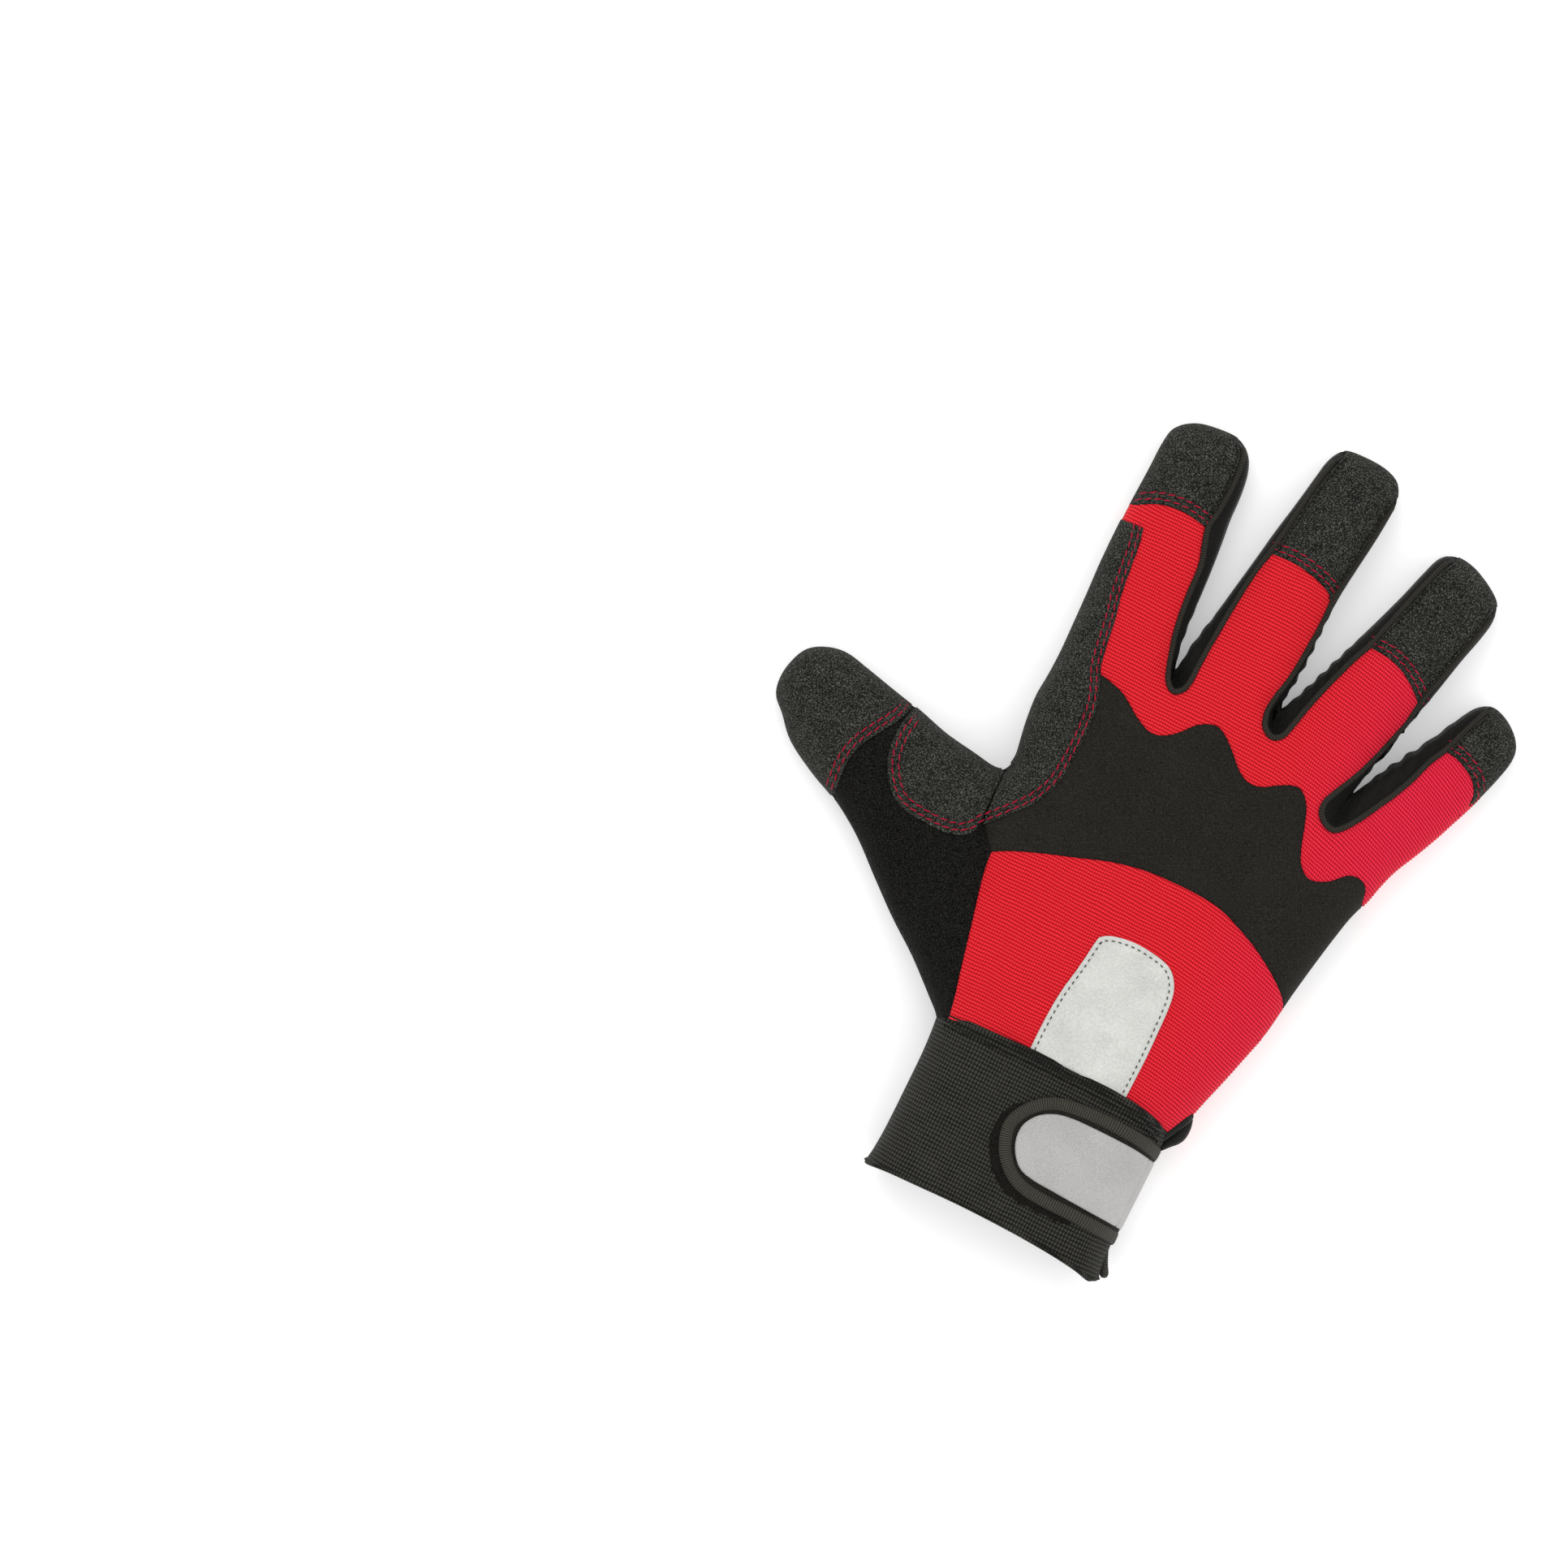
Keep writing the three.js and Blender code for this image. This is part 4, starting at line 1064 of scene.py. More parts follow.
def back_patches():
    """Patches sewn on the back's panels: index side, thumb saddle and reflective panel."""
    side = [
        *sharp((-60, 92.5)), *INDEX_SIDE_EDGE, (-49.4, 0), (-49.6, 9), (-48.5, 14),
        *sharp((-60, 18)),
    ]
    panel("index_side_grip", side, GRIP, "grip", ["index_side_patch"], lift=BACK_LIFT, under=5.5,
          thickness=PATCH, roll=0.5, grooves=SIDE_ROWS, on_other=0.8)
    saddle = [*SADDLE_EDGE, (-49.6, -3), (-49.9, 6), *sharp((-49.5, 24)), SADDLE_EDGE[0]]
    panel("thumb_saddle_grip", saddle, GRIP, "grip", ["thumb_saddle_patch"], lift=BACK_LIFT,
          under=2, thickness=PATCH, roll=0.5, grooves=TIP_ROWS, on_other=0.6)
    panel("reflective_panel", REFLECTIVE, REFLECT, "reflective", ["reflective_patch"], lift=0.8,
          thickness=0.6, roll=0.3, grooves=(1.3,))


# Palm side
def finger_band(finger, start, end, half):
    """Corners of a band across a finger: at two distances from its tip, a half width each way."""
    _, tip, direction, _, _ = finger
    tip, along = np.array(tip), np.array(direction) / np.linalg.norm(direction)
    across = np.array([along[1], -along[0]])
    near, far = tip + along * start, tip + along * end
    return [
        tuple(near - across * half), tuple(near + across * half),
        tuple(far + across * half), tuple(far - across * half),
    ]


def palm_pieces():
    """The suede of the whole palm side, and the grip patches and bars that are sewn on it."""
    whole = sharp((-140, -66), (-140, 160), (100, 160), (100, -66))
    panel("palm_suede", whole, SUEDE, "suede", ["palm_panel"], side=-1, cell=0.8, lift=-0.3)
    patches = [
        ("thumb_cap_palm", THUMB_CAP, [], 0.8, 1.4),
        ("thumb_web_grip", WEB, [], 0.8, 1.2),
        ("palm_grip", PALM_PATCH, ["palm_patch"], PALM_LIFT, 1.6),
        ("thenar_grip", THENAR, ["thenar_patch"], PALM_LIFT, 4.5),
    ]
    for finger in FINGERS:
        name, _, _, half, rows = finger
        for part, start, end in (("bar_far", *rows[1:3]), ("bar_near", *rows[3:5])):
            bar = sharp(*finger_band(finger, start, end, half))
            patches.append((f"{name}_{part}_grip", bar, [f"{name}_{part}"], PALM_LIFT, 2.4))
        tip = sharp(*finger_band(finger, -12, rows[0], 22))
        patches.append((f"{name}_tip_palm_patch", tip, [f"{name}_tip_front"], PALM_LIFT, 1.7))
    for name, outline, nodes, lift, inset in patches:
        panel(name, outline, GRIP, "grip", nodes, side=-1, lift=lift, inset=inset,
              thickness=1.0, roll=0.35, grooves=PALM_ROWS, hem=False)


# Side walls between the fingers: where the outline leaves one fingertip, turns at the gap's
# end and reaches the next tip; the seam on the back; and where the seam turns
SIDE_WALLS = [
    {
        "name": "index_middle", "corners": ((-33.5, 129.9), (-17.5, 60.2), (1.5, 141.3)),
        "seam": [
            (-34.5, 128.6), *INDEX_TIP_SIDE, *INDEX_MIDDLE_GAP[1:], *MIDDLE_TIP_LEFT[1:], (2, 140),
        ],
        "turn": (-15.6, 53),
    },
    {
        "name": "middle_ring", "corners": ((17, 139), (14.7, 62.5), (45, 127.2)),
        "seam": [
            (16.2, 137.6), *MIDDLE_TIP_RIGHT, *MIDDLE_RING_GAP[1:], *RING_TIP_LEFT[1:],
            (45.6, 125.8),
        ],
        "turn": (16.4, 53.8),
    },
    {
        "name": "ring_little", "corners": ((58.2, 121.2), (45.6, 50.6), (75, 91.4)),
        "seam": [
            (56.8, 119.8), *RING_TIP_RIGHT, *RING_LITTLE_GAP[1:], *LITTLE_TIP_LEFT[1:],
            (74.8, 90),
        ],
        "turn": (44, 37.2),
    },
]

# Across a wall's upper half: share from the seam to the outline, and dip below the back
WALL_TOP = [(0.0, 0.9), (0.12, 1.1), (0.25, 1.3), (0.45, 1.2), (0.65, 0.8), (0.85, 0.3), (1.0, 0.0)]
# Across its lower half: shares of its reach under the finger
WALL_UNDER = [0.04, 0.12, 0.3, 0.55, 0.8, 1.0]
# Its reach under the first finger, under the second and, on top of them, at the gap's end
WALL_REACH = (3.6, 1.6, 4.0)
# Points along half a wall, and rounds of smoothing of the direction that it is inset in
WALL_STEPS = 110
WALL_SMOOTHING = 8
# The hollow at the gap's end: half width, as a share of half the wall, and depth
HOLLOW_SHARE, HOLLOW_DEPTH = 0.07, 5.5
# The ends that tuck under the tips: where they begin, over what share, how far in and down
TUCK_START, TUCK_SHARE, TUCK_IN, TUCK_DOWN = 0.93, 0.04, 0.9, 0.5
LOWEST_TOP = 6
PIPING_RADIUS = 0.85


def nearest_index(line, point):
    """Index of the line's point nearest to a place."""
    return int(np.argmin(((line - point) ** 2).sum(1)))


def outline_between(start, end):
    """The stretch of the hand's outline, clockwise, between the points nearest to two places."""
    first, last = nearest_index(HAND_LINE, start), nearest_index(HAND_LINE, end)
    count = len(HAND_LINE)
    return HAND_LINE[(first + np.arange((last - first) % count + 1)) % count]


def halved(line, turn):
    """The line in even steps before and after its turning point, as many in each half."""
    at = nearest_index(line, turn)
    parts = []
    for part in (line[: at + 1], line[at:]):
        along = along_line(part)
        parts.append(at_lengths(part, along, np.linspace(0, along[-1], WALL_STEPS)))
    return np.vstack([parts[0], parts[1][1:]])


def side_walls():
    """Ribbed walls: ruled from the panel's seam to the outline, then round under the finger.

    A point lies a share of the way from the seam to the outline, at the back's height
    less a dip that grows into a hollow at the gap's end. Below the outline it moves
    inwards again, at the palm side's height. Piping runs beside both edges.
    """
    ridges = []
    for wall in SIDE_WALLS:
        start, crotch, end = wall["corners"]
        seam = halved(smooth(wall["seam"], closed=False), wall["turn"])
        rim = halved(outline_between(start, end), crotch)
        inward = unit(-left_of(np.gradient(rim, axis=0)))
        for _ in range(WALL_SMOOTHING):
            inward[1:-1] = (inward[:-2] + inward[1:-1] * 2 + inward[2:]) / 4
        inward = unit(inward)
        share = np.linspace(-1, 1, len(seam))
        hollow = np.exp(-((share / HOLLOW_SHARE) ** 2))
        tucked = ramp(np.abs(share), TUCK_START, TUCK_SHARE)
        rows = []
        for toward, dip in WALL_TOP:
            place = seam * (1 - toward) + rim * toward
            height = back_surface(place, inside_gap(place) * (toward < 1))
            place = place + inward * tucked[:, None] * TUCK_IN
            depth = dip + tucked * TUCK_DOWN
            depth += hollow * HOLLOW_DEPTH * math.sin(math.pi * toward) ** 1.5
            rows.append(np.column_stack([place, np.maximum(height - depth, LOWEST_TOP)]))
        first, second, at_turn = WALL_REACH
        reach = np.where(share < 0, first, second) + hollow * at_turn
        for part in WALL_UNDER:
            place = rim + inward * (reach * part + tucked * TUCK_IN)[:, None]
            proud = (0.45 if part < 1 else 0.2) * (1 - 2 * tucked)
            rows.append(np.column_stack([place, palm_surface(place, inside_gap(place)) - proud]))
        profile = np.stack(rows, 1)
        node = "side_wall_" + wall["name"]
        strip(node + "_tape", along_line(rim), profile, SATIN, "grosgrain", [node])
        width = np.linalg.norm(rim - seam, axis=1)[:, None]
        crest = seam + (rim - seam) / np.maximum(width, 1e-6) * np.minimum(0.75, width * 0.3)
        top = back_surface(crest, inside_gap(crest))
        ridges.append(np.column_stack([crest, top + 0.05])[8:-8])
        ridges.append((profile[:, -1] - np.array([0, 0, 0.1]))[9:-9])
    radii = [PIPING_RADIUS] * len(ridges)
    join_cords("side_wall_piping", ridges, radii, GROSGRAIN, "grosgrain")


def join_cords(name, lines, radii, material, slot, *nodes, sides=8):
    """Several round cords as one piece; a radius is one number or one for each point."""
    points, groups, uvs, start = [], [], [], 0
    for line, radius in zip(lines, radii):
        body, faces, uv = cord_mesh(line, radius, sides)
        groups += [group + start for group in faces]
        points.append(body)
        uvs.append(uv)
        start += len(body)
    piece = mesh_object(name, np.vstack(points), groups, material, np.vstack(uvs))
    return dress(piece, slot, *nodes)


# Stitching
STITCH_SIDES = 6
FINE_STITCH = {"pitch": 1.6, "length": 1.1, "width": 0.42, "slant": 0}
OFFSET_STEP = 0.8


def stitch_shape():
    """One stitch: a short round thread, full in its middle and pointed at its ends."""
    along = np.array([-1.0, -0.72, -0.25, 0.25, 0.72, 1.0])
    size = np.array([0.25, 0.8, 1.0, 1.0, 0.8, 0.25])
    angle = np.linspace(0, 2 * np.pi, STITCH_SIDES, endpoint=False)
    x = np.repeat(along[:, None], STITCH_SIDES, 1)
    y = np.cos(angle)[None] * size[:, None]
    z = np.sin(angle)[None] * size[:, None]
    z = z + (0.25 - 0.6 * x**2)
    index = np.arange(x.size).reshape(x.shape)
    nxt = np.roll(index, -1, 1)
    quads = np.stack([index[:-1], nxt[:-1], nxt[1:], index[1:]], -1).reshape(-1, 4)
    return np.stack([x, y, z], -1).reshape(-1, 3), quads, [index[0][None], index[-1][None, ::-1]]


def stitch_rows(name, rows, material, slot, side=1, pitch=2.75, length=2.3, width=0.44, slant=9,
                ground=None):
    """Rows of stitches: copies of one stitch along each line, laid on the surface.

    A row is (line, lift). Each stitch is turned to the line plus a slant, and its two
    ends take their heights from the surface below them.
    """
    ground = ground or (lambda at: heights_on(at, inside_gap(at), side))
    shape, quads, caps = stitch_shape()
    laid = [(*resampled(line, pitch)[:2], lift) for line, lift in rows]
    centre = np.vstack([points for points, _, _ in laid])
    tangent = np.vstack([direction for _, direction, _ in laid])
    lift = np.concatenate([np.full(len(points), rise) for points, _, rise in laid])
    turn = math.radians(slant)
    turned = tangent * math.cos(turn) + left_of(tangent) * math.sin(turn)
    across = left_of(turned)
    local = shape * np.array([length / 2, width / 2, width / 2])
    plan = centre[:, None] + turned[:, None] * local[None, :, 0:1]
    plan = plan + across[:, None] * local[None, :, 1:2]
    start, end = (ground(centre + turned * (length / 2) * sign) for sign in (-1, 1))
    share = (shape[None, :, 0] + 1) / 2
    z = start[:, None] * (1 - share) + end[:, None] * share
    z = z + side * (lift[:, None] + local[None, :, 2])
    points = np.concatenate([plan, z[..., None]], 2).reshape(-1, 3)
    offsets = (np.arange(len(centre)) * len(shape))[:, None, None]
    groups = [(group[None] + offsets).reshape(-1, group.shape[1]) for group in (quads, *caps)]
    if side < 0:
        groups = [group[:, ::-1] for group in groups]
    piece = mesh_object(name, points, groups, material)
    return dress(piece, slot)


def offset_line(line, inset):
    """An open line moved sideways, to the left of its direction."""
    points, tangent, _ = resampled(line, OFFSET_STEP)
    return points + left_of(tangent) * inset


def inset_outline(outline, inset):
    """The line at an inset inside an outline, without the points where it comes too near."""
    line = smooth(outline)
    points, tangent, _ = resampled(np.vstack([line, line[:1]]), OFFSET_STEP)
    sideways = left_of(tangent) * inset
    moved = points + sideways
    if (distance(moved, line)[0] > 0).mean() < 0.5:
        moved = points - sideways
    fair = np.abs(distance(moved, line)[0] - abs(inset)) < 0.35
    return moved[fair]


def runs(line, margin=1.2, break_at=3.0):
    """Splits a line where it comes nearer than a margin to the hand's outline, or jumps."""
    inside = line[to_hand(line)[0] > margin]
    steps = np.linalg.norm(np.diff(inside, axis=0), axis=1)
    parts = np.split(inside, np.where(steps > break_at)[0] + 1)
    return [part for part in parts if len(part) > 4]


def beside(line, insets, lift, margin=1.2):
    """Stitch rows at insets to the left of a line, or to its right where they are negative."""
    return [(part, lift) for inset in insets for part in runs(offset_line(line, inset), margin)]


def to_right(rows):
    """The distances of stitch rows that lie to the right of their line."""
    return [-row for row in rows]


def back_stitching():
    """Double red rows beside the seams of the back, black ones by the tips and the reflector."""
    rows = []
    for edge in (INDEX_EDGE, MIDDLE_EDGE, RING_EDGE, LITTLE_EDGE):
        rows += beside(smooth(edge, closed=False), TIP_ROWS, 0.2)
    rows += beside(smooth(INDEX_SIDE_EDGE, closed=False), to_right(SIDE_ROWS), 0.85)
    rows += beside(smooth(SADDLE_EDGE, closed=False), TIP_ROWS, 0.85)
    rows += beside(smooth(CAP_EDGE, closed=False), to_right(CAP_ROWS), 0.3)
    stitch_rows("red_stitching_back", rows, RED_THREAD, "red_knit")
    rows = []
    for side in (
        INDEX_TIP_SIDE, MIDDLE_TIP_LEFT, MIDDLE_TIP_RIGHT, RING_TIP_LEFT, RING_TIP_RIGHT,
        LITTLE_TIP_LEFT,
    ):
        line = offset_line(smooth(side, closed=False), -1.0)[2:-2]
        rows += [(part, 0.25) for part in runs(line)]
    stitch_rows("tip_seam_stitching", rows, BLACK_THREAD, "grosgrain", **FINE_STITCH)
    line = inset_outline(REFLECTIVE, 1.4)
    rows = [(part, 0.75) for part in runs(line[line[:, 1] > -58.5])]
    stitch_rows("reflective_stitching", rows, BLACK_THREAD, "reflective", pitch=2.0, length=1.1,
                width=0.3, slant=0)


def knit_loops():
    """Ends of the knit's rows: short loops across the outline at the rows' pitch."""
    stretches = (((80, 66), (63.4, 22)), ((53.5, -27), (45.5, -55)))
    rows = [(outline_between(start, end) - [0.3, 0], 0.0) for start, end in stretches]
    stitch_rows("knit_edge_loops", rows, RED_YARN, "red_knit", pitch=KNIT_ROW, length=1.2,
                width=0.8, slant=70)


def palm_stitching():
    """Double red rows inside each patch of the palm side, and black ones down the pull tab."""
    rows = []
    for outline in (PALM_PATCH, THENAR):
        for inset in PALM_ROWS:
            rows += [(part, 0.85) for part in runs(inset_outline(outline, inset), 3.0)]
    rows.append((inset_outline(THENAR_OVAL, 0.01), 0.86))
    for finger in FINGERS:
        half, spans = finger[3], finger[4]
        for k, at in enumerate(spans):
            side = 1 if k in (1, 3) else -1
            for shift in (1.0, 2.9):
                band = finger_band(finger, at + side * shift, at + side * shift, half - 1.3)
                rows.append((np.array(band[:2]), 0.88))
    rows += beside(smooth(CAP_EDGE, closed=False), to_right(CAP_ROWS), 0.8, 3.0)
    rows += beside(smooth(WEB[:8], closed=False), PALM_ROWS, 0.8, 2.0)
    rows += beside(outline_between((-48.6, 17), (-51.3, 93)), (-2.7, -4.3), 0.5)
    stitch_rows("red_stitching_palm", rows, RED_THREAD, "red_knit", side=-1)
    rows = []
    for ends in (((-1, -69), (2, -107)), ((15.2, -69), (17.6, -107))):
        for shift in (-0.6, 0.6):
            rows.append((np.array(ends, float) + [shift, 0], 0.86))
    stitch_rows("pull_tab_stitching", rows, BLACK_THREAD, "suede", side=-1, pitch=2.2, length=1.5,
                width=0.5, slant=0)


# Cuff and closure: the cuff's edges in plan, the lift of its outer face off its section, and
# the y of that section
CUFF_LEFT, CUFF_RIGHT = -33.0, 39.4
CUFF_CENTRE = (CUFF_RIGHT + CUFF_LEFT) / 2
CUFF_LIFT = 1.3
SECTION_Y = -85.0
# y of the back's upper and lower edge for each x, and the same of the palm side
CUFF_START = table([
    (-40, -61.4), (-33, -60.3), (-20, -59.5), (0, -58.7), (20, -59.1), (30, -60.2), (37, -62.3),
    (42, -64.6),
])
CUFF_END = table([
    (-40, -112.4), (-34, -111.6), (-28, -110.4), (-20, -109.9), (-5, -109.5), (12, -109.8),
    (24, -110.5), (32, -111.6), (37, -112.8), (42, -111),
])
CUFF_PALM_START, CUFF_PALM_END = -63.5, -109.4
# How far the sides spread outwards for each y
CUFF_FLARE = table([
    (-115, 1.4), (-111, 1.1), (-106, 0.4), (-98, 0), (-85, 0), (-75, 0.1), (-68, 0.5),
    (-63, 1.0), (-58, 1.2),
])
# The rolled edges: distance from the edge and lift
CUFF_ROLL = [
    (0.6, -1.0), (0.1, -0.95), (0.0, -0.5), (0.2, -0.1), (0.6, 0.05), (1.05, -0.15), (1.5, 0),
]
CUFF_THICKNESS = 1.6
# The two rows that hold the cuff: slant of the stitches and distance from the upper edge
CUFF_STITCH_ROWS = ((60, 2.3), (120, 4.1))
CUFF_STITCH_PITCH = 1.15


def cuff_section():
    """The cuff's cross-section half way down, as a closed line in even steps.

    It starts in the middle of the palm side and runs round the thumb side, over the
    back and down the ulnar side. Columns: plan x, height, the outward normal, the
    length along the line from the back's x = 0, and how far it is on the palm side.
    """
    turn = np.linspace(0, 2 * np.pi, 721)
    half = (CUFF_RIGHT - CUFF_LEFT) / 2
    x = CUFF_CENTRE - half * np.sign(np.sin(turn)) * np.abs(np.sin(turn)) ** 0.9
    plan = np.column_stack([x, np.full(len(x), SECTION_Y)])
    gap = half - np.abs(x - CUFF_CENTRE)
    back = np.cos(turn) < 0
    z = np.where(back, back_surface(plan, gap), palm_surface(plan, gap))
    points, tangent, along = resampled(np.column_stack([x, z]), 0.3)
    widest = levels(plan[:1])[1][0]
    below = np.clip((widest - points[:, 1]) / (widest - BASE), 0, 1)
    top = points[:, 1] > widest
    origin = np.interp(0, points[top, 0], along[top])
    return np.column_stack([points, left_of(tangent), along - origin, below])


SECTION_X, SECTION_Z, NORMAL_X, NORMAL_Z, SECTION_LENGTH, SECTION_BELOW = cuff_section().T
SECTION_TOP = SECTION_BELOW == 0


def cuff_length(x):
    """Length along the cuff's section for a plan x on the back, carried on past the edge."""
    x = np.asarray(x, float)
    top_x, top_length = SECTION_X[SECTION_TOP], SECTION_LENGTH[SECTION_TOP]
    on_top = np.interp(x, top_x, top_length)
    return np.where(x > top_x[-1], top_length[-1] + x - top_x[-1], on_top)


def on_cuff(length, y, lift):
    """Points on the cuff: length along its section, plan y, and lift off its inner surface.

    The section's heights are scaled to the hand's height at y, its sides spread with
    the cube of the distance from the middle, and the palm side lies 1.15 mm further in.
    """
    columns = (SECTION_X, SECTION_Z, NORMAL_X, NORMAL_Z, SECTION_BELOW)
    x, z, nx, nz, below = (np.interp(length, SECTION_LENGTH, column) for column in columns)
    scale = (hand_height(y) - BASE) / (hand_height(SECTION_Y) - BASE)
    z = BASE + (z - BASE) * scale
    x = x + CUFF_FLARE(y) * ((x - CUFF_CENTRE) / (CUFF_RIGHT - CUFF_CENTRE)) ** 3
    lift = lift - 1.15 * below
    return np.stack([x + nx * lift, y + 0 * x, z + nz * lift], -1)


def cuff_top(points):
    """Height of the cuff's back at plan points."""
    return on_cuff(cuff_length(points[:, 0]), points[:, 1], CUFF_LIFT)[:, 2]


def cuff_outside(points):
    """The same, with the section moved under each point until its outer surface meets it."""
    x, y = points.T
    under = x
    for _ in range(4):
        under = under - (on_cuff(cuff_length(under), y, CUFF_LIFT)[:, 0] - x)
    return on_cuff(cuff_length(under), y, CUFF_LIFT)[:, 2]


def cuff_band():
    """The cuff: its section carried from a rolled start to a rolled end, one ring per row."""
    length = np.append(SECTION_LENGTH[::3][:-1], SECTION_LENGTH[-1])
    x, below = (np.interp(length, SECTION_LENGTH, column) for column in (SECTION_X, SECTION_BELOW))
    start = CUFF_START(x) * (1 - below) + CUFF_PALM_START * below
    end = CUFF_END(x) * (1 - below) + CUFF_PALM_END * below
    rows = [(start - inset, rise) for inset, rise in CUFF_ROLL]
    rows += [(start * (1 - t) + end * t, 0) for t in np.linspace(0.05, 0.96, 46)]
    rows += [(end + inset, rise) for inset, rise in CUFF_ROLL[::-1]]
    profile = np.stack([on_cuff(length, y, CUFF_LIFT + rise) for y, rise in rows])
    uv = np.stack([np.repeat(length[None], len(rows), 0), profile[..., 1]], -1).reshape(-1, 2)
    piece = mesh_object("cuff_elastic", profile.reshape(-1, 3), grid_quads(profile), ELASTIC, uv)
    thicken(piece, CUFF_THICKNESS)
    dress(piece, "elastic", "cuff_band")
    ends = np.array([CUFF_LEFT, 38.2])
    for k, (slant, inset) in enumerate(CUFF_STITCH_ROWS):
        line = resampled(np.column_stack([ends + 0.5 * k, ends * 0]), CUFF_STITCH_PITCH)[0]
        line[:, 1] = CUFF_START(line[:, 0]) - inset
        stitch_rows(f"cuff_zigzag_{k + 1}", [(line, 0.4)], BLACK_THREAD, "elastic",
                    pitch=CUFF_STITCH_PITCH, length=1.1, width=0.5, slant=slant,
                    ground=cuff_outside)


def pulled_down(length):
    """Share of its lift that the strap keeps: it lies tighter towards the cuff's ulnar edge."""
    return 1 - 0.6 * eased(ramp(length, cuff_length(27.0), 14))


def cuff_sheet(name, outline, material, slot, nodes, lift, thickness, roll=0.4, cell=0.5,
               crease=None):
    """A sheet on the cuff: its plan outline is laid along the section, so that it wraps the edge.

    Its edge rolls down as a panel's does, and a crease across it is a narrow bell.
    """
    flat = np.array(outline, float)
    flat[:, 0] = cuff_length(flat[:, 0])
    points, faces, own, _ = sheet_grid(flat, cell, None)
    length, y = points.T
    height = lift - roll * np.exp(-np.clip(own, 0, None) / ROLL_REACH)
    if crease is not None:
        height = height - 0.8 * np.exp(-(((length - cuff_length(crease)) / 0.5) ** 2))
    height = CUFF_LIFT + (height - CUFF_LIFT) * pulled_down(length)
    faces = [group for group in faces if len(group)]
    piece = mesh_object(name, on_cuff(length, y, height), faces, material, points)
    thicken(piece, thickness)
    return dress(piece, slot, *nodes)


BINDING_WIDTH = 3.5
# Across the strap's edge binding: share of its width inwards from the edge, and lift
BINDING_PROFILE = [
    (1.02, 1.0), (1.0, 1.5), (0.85, 1.95), (0.5, 2.1), (0.15, 1.95), (0.0, 1.5), (-0.08, 0.9),
    (-0.06, 0.2), (0.1, 0.0),
]


def strap():
    """The strap's end on the cuff: hook tape with a ragged edge, base, face, binding, stitches."""
    ragged = resampled(smooth(HOOK_STRIP + HOOK_STRIP[:1], closed=False), 0.9)[0][:-1]
    ragged[:, 0] += 0.28 * np.sin(ragged[:, 1] * 3.1) + 0.2 * np.sin(ragged[:, 1] * 7.3)
    ragged[:, 1] += 0.28 * np.sin(ragged[:, 0] * 3.7) + 0.2 * np.sin(ragged[:, 0] * 8.1)
    cuff_sheet("strap_hook_tape", ragged, HOOKS, "elastic", [], lift=1.75, thickness=0.8,
               roll=0.3, cell=0.35)
    cuff_sheet("strap_base", TAB, NEOPRENE, "grosgrain", ["strap_tab"], lift=2.5, thickness=1.1)
    cuff_sheet("strap_face_plate", FACE, RUBBER, "strap_rubber", ["strap_face"], lift=3.5,
               thickness=1.0, roll=0.55, crease=37.4)
    flat = np.array(TAB, float)
    flat[:, 0] = cuff_length(flat[:, 0])
    points, tangent, at = resampled(smooth(flat[1:-1], closed=False), 0.5)
    inward = left_of(tangent)
    if inward[len(inward) // 2, 0] < 0:
        inward = -inward
    kept = pulled_down(points[:, 0])
    rows = []
    for share, rise in BINDING_PROFILE:
        place = points + inward * BINDING_WIDTH * share
        rows.append(on_cuff(place[:, 0], place[:, 1], CUFF_LIFT + rise * kept))
    strip("strap_edge_binding", at, np.stack(rows, 1), BINDING, "elastic", ["strap_binding"],
          thickness=0)
    line = inset_outline(FACE, -0.8)
    rows = [(part, 1.25) for part in runs(line[line[:, 0] < 37])]
    stitch_rows("strap_stitching", rows, BLACK_THREAD, "elastic", ground=cuff_top, **FINE_STITCH)


def small_parts():
    """The pull tab, the rolled edges of the slit and the fold of fabric above the strap."""
    panel("pull_tab_suede", PULL_TAB, SUEDE, "suede", ["pull_tab"], side=-1, lift=PALM_LIFT,
          thickness=PATCH, roll=0.3)
    for name, paths, material, nodes in (
        ("cuff_slit_edges", SLIT_EDGES, BINDING, ("slit_binding_back", "slit_binding_palm")),
        ("ulnar_fold", NUB_FOLDS, SATIN, ("ulnar_loop",)),
    ):
        fine = [smooth_rows(path) for path in paths]
        lines, radii = [rows[:, :3] for rows in fine], [rows[:, 3] for rows in fine]
        join_cords(name, lines, radii, material, "elastic", *nodes, sides=14)


def smooth_rows(rows, per=8):
    """Rows of numbers joined by a Catmull-Rom curve, column by column."""
    rows = np.array(rows, float)
    at = np.arange(len(rows), dtype=float)
    fine = np.linspace(0, len(rows) - 1, (len(rows) - 1) * per + 1)
    columns = []
    for column in rows.T:
        line = smooth(np.column_stack([at, column]), closed=False)
        columns.append(np.interp(fine, line[:, 0], line[:, 1]))
    return np.column_stack(columns)


# Scene
FLOOR_REACH = 4.0
# Lamps: name, place in metres, power in watts and size
LAMPS = [("key", (-0.9, 0.9, 1.5), 7, 1.2), ("fill", (1.0, -0.5, 1.3), 2.5, 1.4)]
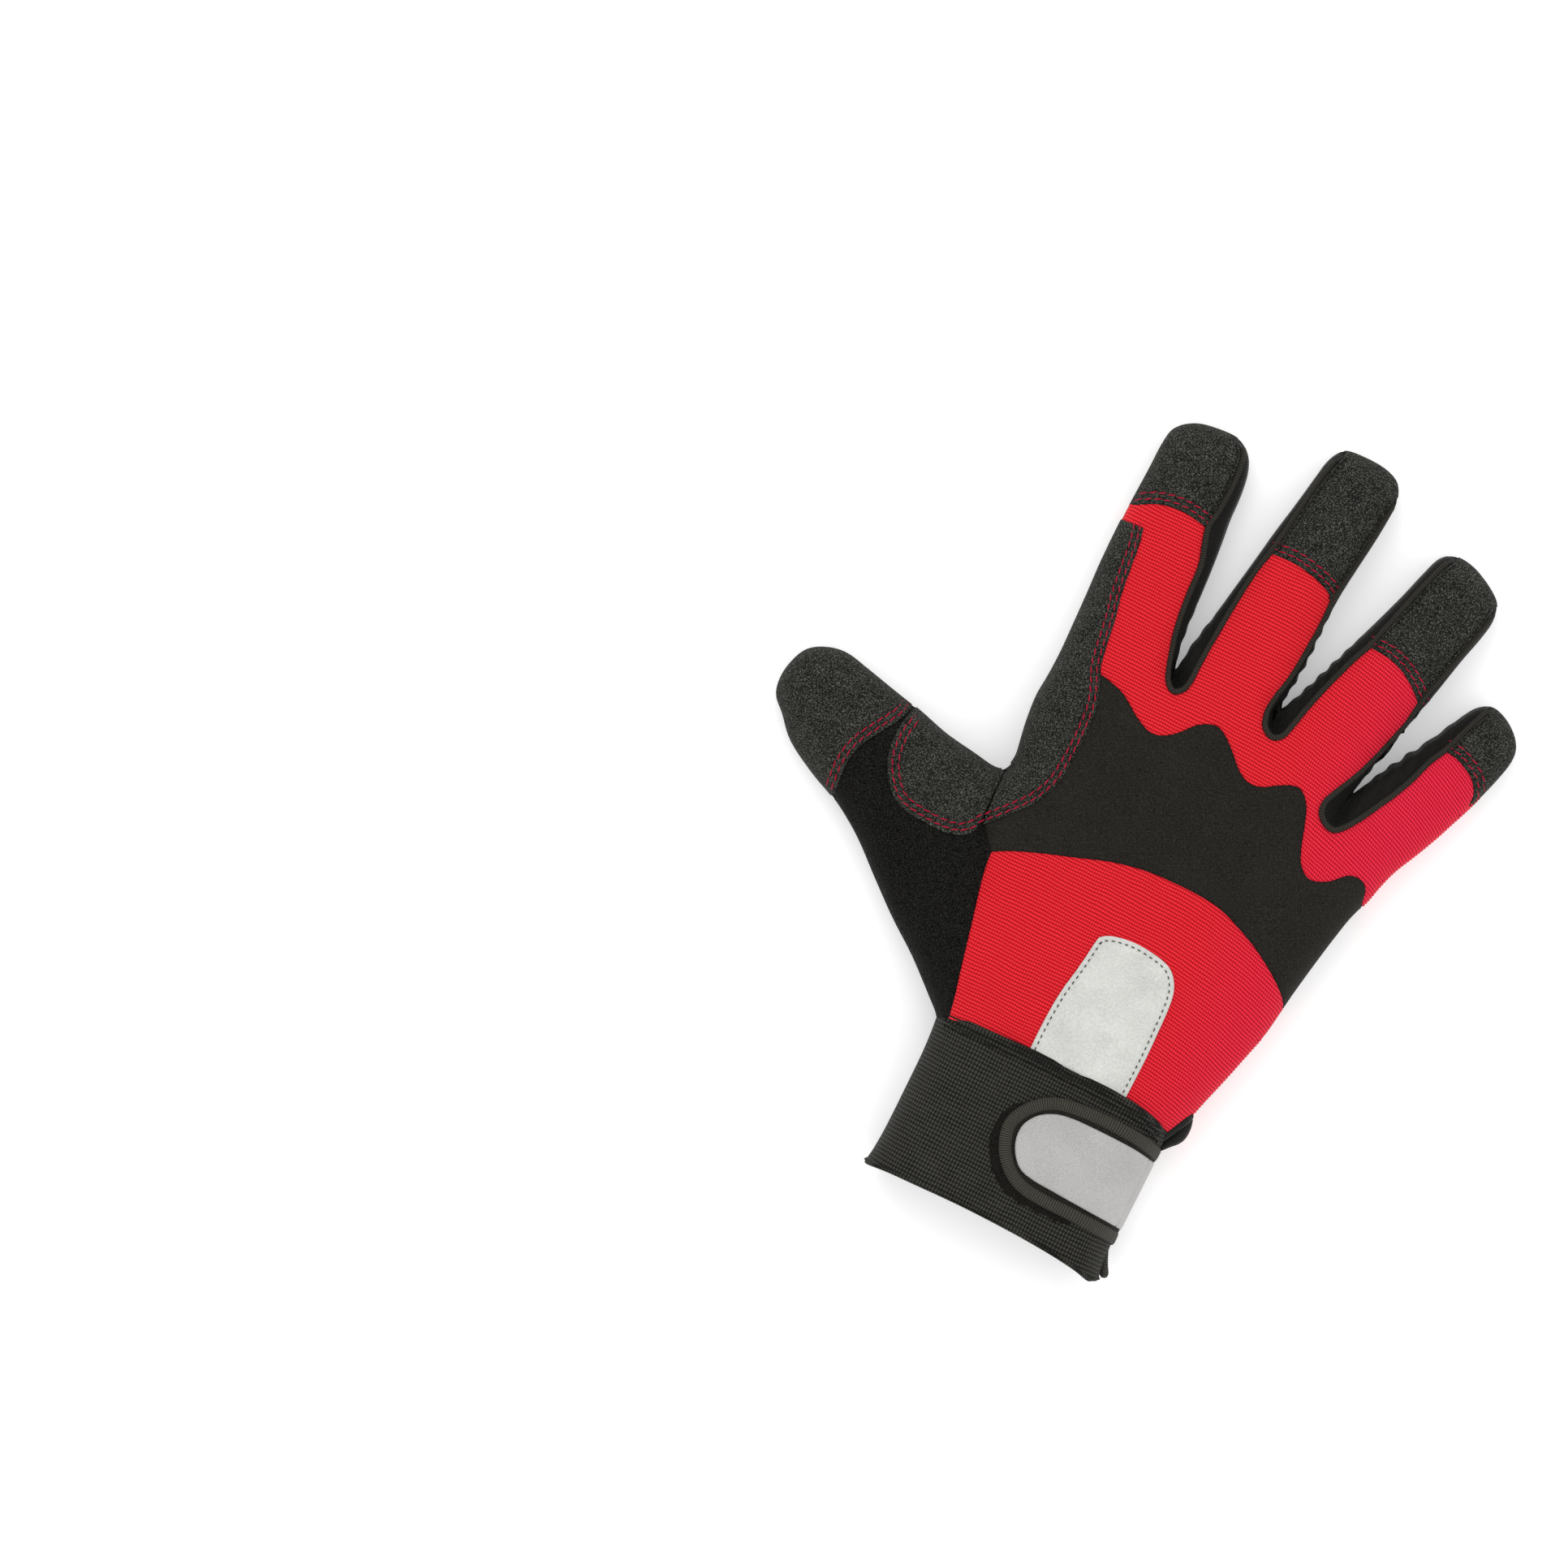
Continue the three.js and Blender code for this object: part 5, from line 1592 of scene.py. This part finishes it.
# The picture: its width on the glove in metres, its turn, its centre in the hand's frame,
# and the camera's height and sensor
PICTURE_WIDTH = 0.4637
PICTURE_TURN = 26.4
PICTURE_CENTRE = (-106.3, -21.7)
CAMERA_HEIGHT = 1.8
SENSOR = 36
FOCUS_HEIGHT = 0.012


def studio():
    """A white world, a pale floor that gives some light of its own, and two soft lamps."""
    world = bpy.data.worlds.new("studio")
    bpy.context.scene.world = world
    world.use_nodes = True
    background = world.node_tree.nodes["Background"]
    background.inputs["Color"].default_value = (1, 1, 1, 1)
    background.inputs["Strength"].default_value = 1.0
    bpy.context.scene.view_settings.view_transform = "Standard"
    plane = np.array([[-1, -1, 0], [1, -1, 0], [1, 1, 0], [-1, 1, 0]]) * FLOOR_REACH * MM
    cloth = Cloth("pale_floor", 0.9, specular=0.1)
    cloth.shader.inputs["Emission Color"].default_value = (1, 1, 1, 1)
    cloth.shader.inputs["Emission Strength"].default_value = 0.25
    soft = cloth.noise(cloth.place(), 300.0)
    material = cloth.finish(cloth.blend(soft, (0.93, 0.93, 0.93), (0.95, 0.95, 0.95)))
    floor = mesh_object("floor", plane, np.array([[0, 1, 2, 3]]), material)
    for name, spot, energy, size in LAMPS:
        light = bpy.data.lights.new(name, "AREA")
        light.energy, light.size = energy, size
        lamp = bpy.data.objects.new(name, light)
        lamp.location = spot
        aim = -lamp.location.normalized()
        lamp.rotation_mode = "QUATERNION"
        lamp.rotation_quaternion = aim.to_track_quat("-Z", "Y")
        bpy.context.scene.collection.objects.link(lamp)


def camera():
    """Straight above, turned so that the hand leans as photographed, over the picture's centre."""
    lens = bpy.data.cameras.new("camera")
    lens.sensor_width = SENSOR
    lens.lens = SENSOR * (CAMERA_HEIGHT - FOCUS_HEIGHT) / PICTURE_WIDTH
    view = bpy.data.objects.new("camera", lens)
    x, y = PICTURE_CENTRE
    view.location = ((x + SHIFT_X) / MM, (y + SHIFT_Y) / MM, CAMERA_HEIGHT)
    view.rotation_euler = (0, 0, math.radians(PICTURE_TURN))
    bpy.context.scene.collection.objects.link(view)
    bpy.context.scene.camera = view


camera()
studio()
palm_pieces()
cuff_band()
back_panels()
tip_patches()
back_patches()
side_walls()
strap()
small_parts()
back_stitching()
knit_loops()
palm_stitching()

bpy.context.view_layer.update()
